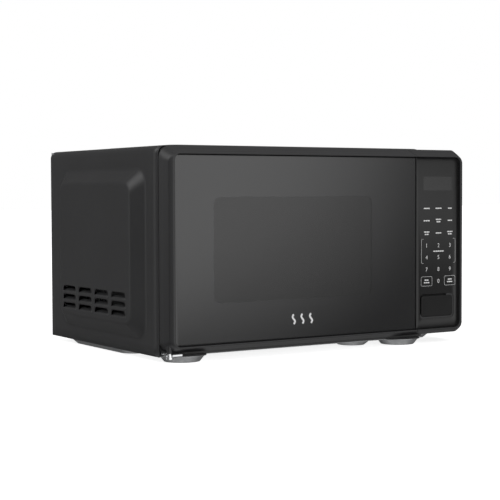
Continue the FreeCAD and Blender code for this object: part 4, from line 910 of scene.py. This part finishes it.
# Frames around the two lowest outer keys, and the brackets beside the first two digit rows.
KEY_FRAME_HALF, KEY_FRAME_LOW, KEY_FRAME_HIGH = 9.1, 73.6, 85.8
BRACKET_LOW, BRACKET_HIGH, BRACKET_TURN, BRACKET_END = 102.6, 133.5, 2.0, 1.4
BRACKETS = ((148.5, 1), (204.4, -1))


def strip(points, width, depth, thick=PRINT_DEPTH):
    """A flat band of constant width along a line of (x, z), standing thick proud of depth.

    Each point is moved half the width to both sides, square to the line.
    """
    line = np.asarray(points, float)
    along = np.gradient(line, axis=0)
    along /= np.linalg.norm(along, axis=1)[:, None]
    across = np.stack([-along[:, 1], along[:, 0]], -1) * width / 2
    near, far = depth - thick, depth + 0.02
    section = [(line - across, near), (line + across, near), (line + across, far), (line - across, far)]
    grid = np.stack([np.stack([flat[:, 0], np.full(len(flat), at), flat[:, 1]], -1)
                     for flat, at in section], 1)
    return skin(grid)


def outline_band(left, right, low, high, radius, width, depth):
    """A thin rounded frame: two nested rounded rectangles joined front and back."""
    outer = rounded_loop(left, right, low, high, radius, 5)
    inner = rounded_loop(left + width, right - width, low + width, high - width, radius - width, 5)
    near, far = depth - PRINT_DEPTH, depth + 0.02
    return skin(layers([outer, inner, inner, outer], [near, near, far, far]), wrap_rows=True)


def sign(x, z, dashes, depth, height=1.5, gap=0.45):
    """A plain key sign: a row of short bars whose widths are given, centred on x."""
    total = sum(dashes) + gap * (len(dashes) - 1)
    start = x - total / 2
    bars = []
    for width in dashes:
        bars.append(strip([(start, z), (start + width, z)], height, depth))
        start += width + gap
    return bars


def bracket(x, side, depth):
    """A bracket that opens to the right (side 1) or left (-1): a line with two quarter circles."""
    angle = np.linspace(0, np.pi / 2, 7)
    foot = np.stack([x + side * BRACKET_TURN * (1 - np.sin(angle)),
                     BRACKET_LOW + BRACKET_TURN * (1 - np.cos(angle))], -1)
    head = foot[::-1] * [1, -1] + [0, BRACKET_LOW + BRACKET_HIGH]
    end = x + side * (BRACKET_TURN + BRACKET_END)
    return strip(np.vstack([[[end, BRACKET_LOW]], foot, head, [[end, BRACKET_HIGH]]]), LINE, depth)


def figure(text, x, z, height, depth):
    """A digit as a flat solid: the outline of the built-in face, set upright and centred on (x, z)."""
    curve = bpy.data.curves.new("figure_" + text, "FONT")
    curve.body = text
    curve.size = height / 0.69
    curve.extrude = PRINT_DEPTH / 2
    curve.offset = -0.004 * height
    curve.resolution_u = 3
    item = bpy.data.objects.new("figure", curve)
    bpy.context.scene.collection.objects.link(item)
    bpy.context.view_layer.update()
    mesh = bpy.data.meshes.new_from_object(item)
    flat = np.empty(len(mesh.vertices) * 3)
    mesh.vertices.foreach_get("co", flat)
    flat = flat.reshape(-1, 3)
    middle = (flat.min(0) + flat.max(0)) / 2
    points = np.stack([flat[:, 0] - middle[0] + x, depth - PRINT_DEPTH / 2 - flat[:, 2],
                       flat[:, 1] - middle[1] + z], -1)
    faces = [list(face.vertices) for face in mesh.polygons]
    bpy.data.objects.remove(item)
    bpy.data.curves.remove(curve)
    bpy.data.meshes.remove(mesh)
    return points, faces


class OVEN_OT_panel_print(bpy.types.Operator):
    """Figures 0 to 9, plain key signs, brackets and frames of the control panel"""
    bl_idname = "oven.panel_print"
    bl_label = "Panel print"

    def execute(self, context):
        depth = SHEET_LOW[1]
        shells = [figure(digit, x, z, DIGIT_HEIGHT, depth)
                  for z, digits in DIGIT_ROWS for x, digit in zip(KEY_COLUMNS, digits)]
        shells.append(figure("0", MIDDLE_KEY, ZERO_ROW, DIGIT_HEIGHT, depth))
        for x, z, dashes in SIGNS:
            shells += sign(x, z, dashes, depth)
        for x in (LEFT_KEY, RIGHT_KEY):
            shells.append(outline_band(x - KEY_FRAME_HALF, x + KEY_FRAME_HALF, KEY_FRAME_LOW,
                                       KEY_FRAME_HIGH, 2.0, LINE, depth))
        shells += [bracket(x, side, depth) for x, side in BRACKETS]
        build("panel_print", shells, "chassis", "printed_sheet", finish="panel_print")
        return {"FINISHED"}


class OVEN_OT_heat_mark(bpy.types.Operator):
    """Plain heat sign under the window: three upright waves"""
    bl_idname = "oven.heat_mark"
    bl_label = "Heat sign"

    centre_x: millimetres("Centre", "Middle of the sign", -34.5)
    centre_z: millimetres("Height", "Middle of the sign", 42.7)

    def execute(self, context):
        t = np.linspace(0, 1, 25)
        height, swing, spacing = 11.5, 1.7, 12.5
        waves = []
        for step in (-1, 0, 1):
            x = self.centre_x + spacing * step + swing * np.sin(2 * np.pi * t)
            z = self.centre_z + height * (t - 0.5)
            waves.append(strip(np.stack([x, z], -1), 2.4, GLASS_LOW[1]))
        build("heat_sign", waves, "door", "front_glass", finish="panel_print")
        return {"FINISHED"}


# ---------------------------------------------------------------- cabinet

def field_level(a, b, field, rise):
    """Height of a pressed field over points (a, b).

    The field is a stack of rounded rectangles that shrink from its edge to its top. At each
    point, halving finds the level t whose rounded rectangle passes through it, and the height
    is t times the rise, with a soft start and end. field holds the edges along a and along b,
    the widths of the slopes along a and b, and the corner radii at the foot and at the top.
    """
    a_low, a_high, b_low, b_high, slope_a, slope_b, corner_low, corner_high = field
    away_a = np.abs(a - (a_low + a_high) / 2)
    away_b = np.abs(b - (b_low + b_high) / 2)
    half_a, half_b = (a_high - a_low) / 2, (b_high - b_low) / 2
    low, high = np.full(away_a.shape, -0.5), np.full(away_a.shape, 1.5)
    for _ in range(24):
        t = (low + high) / 2
        corner = corner_low + (corner_high - corner_low) * t
        over_a = away_a - (half_a - slope_a * t - corner)
        over_b = away_b - (half_b - slope_b * t - corner)
        outside = np.hypot(np.maximum(over_a, 0), np.maximum(over_b, 0))
        distance = outside + np.minimum(np.maximum(over_a, over_b), 0) - corner
        low, high = np.where(distance < 0, t, low), np.where(distance < 0, high, t)
    t = (low + high) / 2
    soft = 0.08

    def eased(level):
        return np.where(level < -soft, 0, np.where(level < soft, (level + soft) ** 2 / (4 * soft), level))

    return rise * np.where(t < 0.5, eased(t), 1 - eased(1 - t))


def spaced(low, high, step):
    """Evenly spaced values from low to high, about step apart, both ends included."""
    return np.linspace(low, high, max(int(round((high - low) / step)), 1) + 1)


def at_edges(low, high, inwards, step=1.5, outwards=3):
    """Closely spaced values across the slopes at both edges of a pressed field."""
    return np.concatenate([spaced(low - outwards, low + inwards, step),
                           spaced(high - inwards, high + outwards, step)])


def stops(*pieces):
    """Sorted values without near doubles."""
    values = np.sort(np.concatenate(pieces))
    return values[np.concatenate([[True], np.diff(values) > 0.05])]


# Flat sheet around a louvre's slot, and the tab's length and its lean from the sheet.
SLOT_MARGIN = 1.2
TAB_LENGTH = 6.4
TAB_LEAN = math.radians(52)


def beside(values, spans):
    """The values that don't lie within any of the spans."""
    keep = np.ones(len(values), bool)
    for low, high in spans:
        keep &= (values <= low + 0.05) | (values >= high - 0.05)
    return values[keep]


def wrap_line(z_side, x_top, half, top, bend):
    """The folded sheet's line in (x, z) and the direction out of it, from left foot to right foot.

    A side, a quarter circle, the top, and the same mirrored. Out is (-cos, sin) along the bend.
    """
    bow = np.linspace(0, np.pi / 2, 9)[1:]
    side = np.stack([np.full(len(z_side), -half), z_side], -1)
    arc = np.stack([-half + bend - bend * np.cos(bow), top - bend + bend * np.sin(bow)], -1)
    flat = np.stack([x_top[1:-1], np.full(len(x_top) - 2, top)], -1)
    mirror = np.array([-1, 1])
    line = np.vstack([side, arc, flat, arc[::-1] * mirror, side[::-1] * mirror])
    out_side = np.tile([-1.0, 0.0], (len(side), 1))
    out_arc = np.stack([-np.cos(bow), np.sin(bow)], -1)
    out = np.vstack([out_side, out_arc, np.tile([0.0, 1.0], (len(flat), 1)),
                     out_arc[::-1] * mirror, out_side[::-1] * mirror])
    return line[:, 0], line[:, 1], out[:, 0], out[:, 1]


def louvre_patch(start, end, foot, head):
    """The frame and tab of one louvre in its cell, as (y, z, depth) points and faces.

    The cell's four corners join the slot's outline: a flat foot and rounded upper corners. The
    tab is hinged on the foot and leans inwards: its point (s, v) is v of its length up the slope,
    and its sides draw in towards the top.
    """
    margin = SLOT_MARGIN
    outline = rounded_loop(start + margin, end - margin, foot + margin, head - margin,
                           (0.4, 0.4, 5.2, 5.2), 6)
    cell = np.array([[start, foot], [end, foot], [end, head], [start, head]])
    flat = np.vstack([cell, outline])
    points = np.column_stack([flat, np.zeros(len(flat))])
    count, quarter = len(outline), len(outline) // 4
    faces = []
    for corner in range(4):
        ring = [4 + corner * quarter + step for step in range(quarter)]
        following = 4 + ((corner + 1) * quarter) % count
        faces += [[corner, ring[step + 1], ring[step]] for step in range(quarter - 1)]
        faces.append([corner, (corner + 1) % 4, following, ring[-1]])
    s, v = np.meshgrid(np.linspace(0, 1, 9), np.linspace(0, 1, 5))
    curl = 0.25 * np.sin(np.pi * v)
    width = end - start - 2 * margin - 0.8
    across = start + margin + 0.4 + width * (s + (0.5 - s) * 0.22 * v ** 3)
    up = foot + margin + 0.1 + TAB_LENGTH * v * math.cos(TAB_LEAN)
    inward = TAB_LENGTH * v * math.sin(TAB_LEAN) + curl
    tab = np.stack([across, up, inward], -1)
    tab_points, tab_faces = skin(tab, wrap_columns=False, ends=False)
    offset = len(points)
    faces += [[corner + offset for corner in face] for face in tab_faces]
    return np.vstack([points, tab_points]), faces


class OVEN_OT_cabinet(bpy.types.Operator):
    """Cabinet: one folded sheet with pressed side fields, louvres, a raised top and a rear return"""
    bl_idname = "oven.cabinet"
    bl_label = "Cabinet"

    def slot_spans(self, sizes):
        """Cells of the louvres along Y and along Z."""
        ends = np.array([-1, 1])
        half_long, half_tall = sizes.slot_length / 2 + SLOT_MARGIN, sizes.slot_height / 2 + SLOT_MARGIN
        along = [(sizes.slot_rear - sizes.slot_pitch * k) + half_long * ends for k in range(4)]
        upward = [(sizes.slot_low + sizes.slot_step * k) + half_tall * ends for k in range(3)]
        return along, upward

    def execute(self, context):
        sizes = context.scene.oven_cabinet
        half = context.scene.oven_front.front_half
        crown_rise = 2.2
        top = WRAP_HIGH[2] - crown_rise
        foot, front, rear = WRAP_LOW[2], WRAP_LOW[1], WRAP_HIGH[1]
        bend, rise = sizes.bend, WRAP_HIGH[0] - half
        slots_y, slots_z = self.slot_spans(sizes)
        field = (sizes.field_front, sizes.field_rear, sizes.field_low, sizes.field_high,
                 sizes.field_slope, sizes.field_fall, 18.0, 14.0)
        crown_reach = 190.0
        crown = (-crown_reach, crown_reach, -112.0, 100.0, 7.0, 7.0, 16.0, 10.0)
        fold = 1.2
        y_lines = beside(stops(spaced(front, rear - fold, 12),
                               at_edges(sizes.field_front, sizes.field_rear, 26),
                               np.ravel(slots_y)), slots_y)
        z_side = beside(stops(spaced(foot, top - bend, 12),
                              at_edges(sizes.field_low, sizes.field_high, 27),
                              np.ravel(slots_z)), slots_z)
        x_top = stops(spaced(-half + bend, half - bend, 14),
                      at_edges(-crown_reach, crown_reach, 24, 1.8))
        turn = np.linspace(0, np.pi / 2, 5)[1:]
        depth = np.concatenate([y_lines, rear - fold + fold * np.sin(turn), np.full(4, rear)])
        inset = np.concatenate([np.zeros(len(y_lines)), fold * (1 - np.cos(turn)),
                                np.linspace(fold, sizes.return_width, 5)[1:]])
        line_x, line_z, out_x, out_z = wrap_line(z_side, x_top, half, top, bend)
        on_side, on_top = np.abs(out_x) > 0.99, out_z > 0.99
        grid_y = np.broadcast_to(depth, (len(line_x), len(depth)))
        grid_x = np.broadcast_to(line_x[:, None], grid_y.shape)
        grid_z = np.broadcast_to(line_z[:, None], grid_y.shape)
        level = (np.where(on_side[:, None], field_level(grid_y, grid_z, field, rise), 0)
                 + np.where(on_top[:, None], field_level(grid_x, grid_y, crown, crown_rise), 0))
        # The right side's lower edge climbs towards the front, clear of the panel's corner.
        toe_rise, toe_start, toe_length, toe_tall = 5.0, -90, 47, 17
        toe = (toe_rise * np.clip((toe_start - grid_y) / toe_length, 0, 1)
               * np.clip(1 - (grid_z - foot) / toe_tall, 0, 1) * (grid_x > half - 0.5))
        lift = level - inset
        points = np.stack([grid_x + out_x[:, None] * lift, grid_y,
                           grid_z + out_z[:, None] * lift + toe], -1)
        flat_points, faces = skin(points, wrap_columns=False, ends=False)
        columns = len(depth)
        row = np.array([face[0] for face in faces]) // columns
        column = np.array([face[0] for face in faces]) % columns
        low_y, low_z = depth[column], line_z[row]
        sides = on_side[row] & on_side[np.minimum(row + 1, len(line_x) - 1)]
        cell_z = np.minimum(low_z, line_z[np.minimum(row + 1, len(line_x) - 1)])
        cells = [(*along, *upward) for along in slots_y for upward in slots_z]
        is_slot = np.zeros(len(faces), bool)
        for start, _, below, _ in cells:
            is_slot |= sides & (np.abs(low_y - start) < 0.06) & (np.abs(cell_z - below) < 0.06)
        shells = [(flat_points, [face for face, gone in zip(faces, is_slot) if not gone])]
        for side in (-1, 1):
            for cell in cells:
                patch, patch_faces = louvre_patch(*cell)
                x = side * (half + rise - patch[:, 2])
                shells.append((np.column_stack([x, patch[:, 0], patch[:, 1]]),
                               [face[::side] for face in patch_faces]))
        cabinet = build("cabinet_wrap", shells, "chassis", "cabinet_paint", ["outer_cabinet"], crease=48,
                        wall=sizes.gauge, closed=False)
        turn_outwards(cabinet)
        return {"FINISHED"}


def turn_outwards(piece):
    """Turns each loose patch of an open skin so that it faces away from the oven's middle."""
    mesh = piece.data
    form = bmesh.new()
    form.from_mesh(mesh)
    bmesh.ops.recalc_face_normals(form, faces=form.faces)
    form.faces.ensure_lookup_table()
    middle = Vector((0, 0, 0.12))
    top = max(form.faces, key=lambda face: face.calc_center_median().z)
    if top.normal.dot(top.calc_center_median() - middle) < 0:
        bmesh.ops.reverse_faces(form, faces=form.faces)
    form.to_mesh(mesh)
    form.free()


# ---------------------------------------------------------------- turntable and springs

class OVEN_OT_glass_tray(bpy.types.Operator):
    """Glass turntable: a shallow dish with a rolled rim, a step and three lugs under it"""
    bl_idname = "oven.glass_tray"
    bl_label = "Glass tray"

    def execute(self, context):
        centre = (TRAY_LOW[:2] + TRAY_HIGH[:2]) / 2
        radius = (TRAY_HIGH[0] - TRAY_LOW[0]) / 2
        top, floor, glass = TRAY_HIGH[2], 47.6, 3.8
        face = floor + glass
        upper = [(0.5, face), (78, face), (84, face + 0.3), (104, face + 1.1), (113, face + 3.4),
                 (118.5, top - 1.6), (120.5, top - 0.3), (radius - 0.8, top)]
        lower = [(radius - 0.1, top - 1.2), (radius - 0.6, top - 3), (117, floor + 4.2),
                 (107, floor + 0.6), (98, floor), (86, floor), (0.5, floor)]
        section = soften(upper + lower, 2.0, 3)
        dish = turned(section, centre, 120)
        knobs, knob_circle = [], 11.0
        for angle in np.radians([90, 210, 330]):
            at = centre + knob_circle * np.array([np.cos(angle), np.sin(angle)])
            knobs.append(turned([(0.3, floor + 0.4), (2.4, floor + 0.4), (2.3, floor - 3.6),
                                 (1.5, floor - 4.5), (0.3, floor - 4.7)], at, 20))
        build("glass_tray", [dish, *knobs], "glass_turntable", "tray_glass", ["glass_turntable"],
              crease=60)
        return {"FINISHED"}


class OVEN_OT_springs(bpy.types.Operator):
    """Wound springs of the push button and of the latch"""
    bl_idname = "oven.springs"
    bl_label = "Springs"

    def execute(self, context):
        # Room is the travel that would squeeze the spring, left free at its moving end.
        for name, body, axis, turns, room in (("button_spring", "chassis", 1, 6, 5.4),
                                              ("latch_spring", "door", 2, 9, 4.2)):
            low, high = corners(name)
            start = (low + high) / 2
            start[axis] = low[axis] + room
            wire = 0.45
            radius = (high - low)[0] / 2 - wire
            build(name + "_wire", [coil(start, high[axis] - start[axis], axis, radius, wire, turns)], body,
                  "zinc_steel", [name], crease=60)
        return {"FINISHED"}


class OVEN_OT_cad_finishes(bpy.types.Operator):
    """Gives every piece that keeps its CAD shape its finish"""
    bl_idname = "oven.cad_finishes"
    bl_label = "Finishes"

    def execute(self, context):
        for name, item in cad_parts.items():
            for index, material in enumerate(item.data.materials):
                item.data.materials[index] = finish_of(OWN_FINISH.get(name, material.name.split(".")[0]))
        return {"FINISHED"}


# ---------------------------------------------------------------- stage

WHITE_LEVEL = 1.0
FLOOR_GLOW = 0.8
BASE_LIGHT = 0.14
# Brighter regions of the surroundings: azimuth from the front towards the right, height,
# full brightness within the first angle, none beyond the second, and added strength.
REGIONS = (
    (2, 12, 10, 61, 1.28),
    (0, 85, 15, 75, 0.3),
    (-102, 42, 6, 30, 2.2),
    (-122, 8, 8, 28, 0.5),
    (0, -90, 20, 52, 0.8),
)


class OVEN_OT_stage(bpy.types.Operator):
    """Pale floor, soft light and the camera"""
    bl_idname = "oven.stage"
    bl_label = "Stage"

    def camera(self, context):
        """A camera from its place, heading, dip and roll."""
        studio = context.scene.oven_studio
        data = bpy.data.cameras.new("view")
        data.lens = studio.lens
        data.sensor_width = 36
        data.clip_end = 50
        camera = bpy.data.objects.new("view", data)
        context.scene.collection.objects.link(camera)
        forward = Vector((math.sin(studio.heading) * math.cos(studio.dip),
                          math.cos(studio.heading) * math.cos(studio.dip), -math.sin(studio.dip)))
        turn = forward.to_track_quat("-Z", "Y").to_matrix() @ Matrix.Rotation(studio.roll, 3, "Z")
        camera.matrix_world = Matrix.Translation((studio.camera_x, studio.camera_y, studio.camera_z)) \
            @ turn.to_4x4()
        context.scene.camera = camera

    def floor(self, context):
        """A wide pale floor that looks white and still takes a soft shadow."""
        mesh = bpy.data.meshes.new("floor")
        corners_out = 12.0 * np.array([(-1, -1, 0), (1, -1, 0), (1, 1, 0), (-1, 1, 0)])
        mesh.from_pydata(corners_out.tolist(), [], [(0, 1, 2, 3)])
        floor = bpy.data.objects.new("floor", mesh)
        context.scene.collection.objects.link(floor)
        material, tree, shader = bare_material("floor", Roughness=0.9, Specular_IOR_Level=0.1)
        shader.inputs["Base Color"].default_value = (0.85, 0.85, 0.85, 1)
        seen = node(tree, "ShaderNodeLightPath").outputs["Is Camera Ray"]
        shader.inputs["Emission Color"].default_value = (1, 1, 1, 1)
        tree.links.new(maths(tree, "MULTIPLY", seen, FLOOR_GLOW), shader.inputs["Emission Strength"])
        mesh.materials.append(material)
        floor.visible_glossy = False

    def world(self, context):
        """White surroundings for the camera; for light, an even base with soft brighter regions.

        Each region's strength depends on the angle between the direction and the region's middle.
        """
        world = bpy.data.worlds.new("studio")
        context.scene.world = world
        world.use_nodes = True
        tree = world.node_tree
        background = tree.nodes["Background"]
        background.inputs["Color"].default_value = (1, 1, 1, 1)
        direction = node(tree, "ShaderNodeTexCoord").outputs["Generated"]
        strength = BASE_LIGHT
        for azimuth, height, inner, outer, power in REGIONS:
            around, up = math.radians(azimuth), math.radians(height)
            middle = (math.sin(around) * math.cos(up), -math.cos(around) * math.cos(up), math.sin(up))
            facing = node(tree, "ShaderNodeVectorMath", {0: direction, 1: middle},
                          operation="DOT_PRODUCT").outputs["Value"]
            level = node(tree, "ShaderNodeMapRange", {
                "Value": facing, "From Min": math.cos(math.radians(outer)),
                "From Max": math.cos(math.radians(inner)), "To Max": power},
                interpolation_type="SMOOTHSTEP").outputs[0]
            strength = maths(tree, "ADD", level, strength)
        seen = node(tree, "ShaderNodeLightPath").outputs["Is Camera Ray"]
        rest = maths(tree, "MULTIPLY", strength, maths(tree, "SUBTRACT", 1.0, seen))
        tree.links.new(maths(tree, "ADD", rest, maths(tree, "MULTIPLY", seen, WHITE_LEVEL)),
                       background.inputs["Strength"])

    def execute(self, context):
        context.scene.view_settings.view_transform = "Standard"
        self.camera(context)
        self.floor(context)
        self.world(context)
        return {"FINISHED"}


# ---------------------------------------------------------------- panel and registration

OPERATORS = (
    OVEN_OT_stage,
    OVEN_OT_cad_finishes,
    OVEN_OT_door_frame,
    OVEN_OT_door_glass,
    OVEN_OT_heat_mark,
    OVEN_OT_panel_frame,
    OVEN_OT_panel_sheet,
    OVEN_OT_panel_print,
    OVEN_OT_push_button,
    OVEN_OT_cabinet,
    OVEN_OT_glass_tray,
    OVEN_OT_springs,
)


class OVEN_PT_pieces(bpy.types.Panel):
    """The oven's pieces and their sizes"""
    bl_idname = "OVEN_PT_pieces"
    bl_label = "Microwave oven"
    bl_space_type = "VIEW_3D"
    bl_region_type = "UI"
    bl_category = "Oven"

    def draw(self, context):
        for name in SETTINGS:
            group = getattr(context.scene, name)
            box = self.layout.box()
            for key in group.bl_rna.properties.keys():
                if key not in ("rna_type", "name"):
                    box.prop(group, key)
        for operator in OPERATORS:
            self.layout.operator(operator.bl_idname)


def register():
    for kind in (*SETTINGS.values(), *OPERATORS, OVEN_PT_pieces):
        bpy.utils.register_class(kind)
    for name, kind in SETTINGS.items():
        setattr(bpy.types.Scene, name, bpy.props.PointerProperty(type=kind))


def unregister():
    for name in SETTINGS:
        delattr(bpy.types.Scene, name)
    for kind in reversed((*SETTINGS.values(), *OPERATORS, OVEN_PT_pieces)):
        bpy.utils.unregister_class(kind)


def main():
    """Registers the add-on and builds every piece."""
    register()
    for operator in OPERATORS:
        family, name = operator.bl_idname.split(".")
        getattr(getattr(bpy.ops, family), name)()


if __name__ == "__main__":
    main()
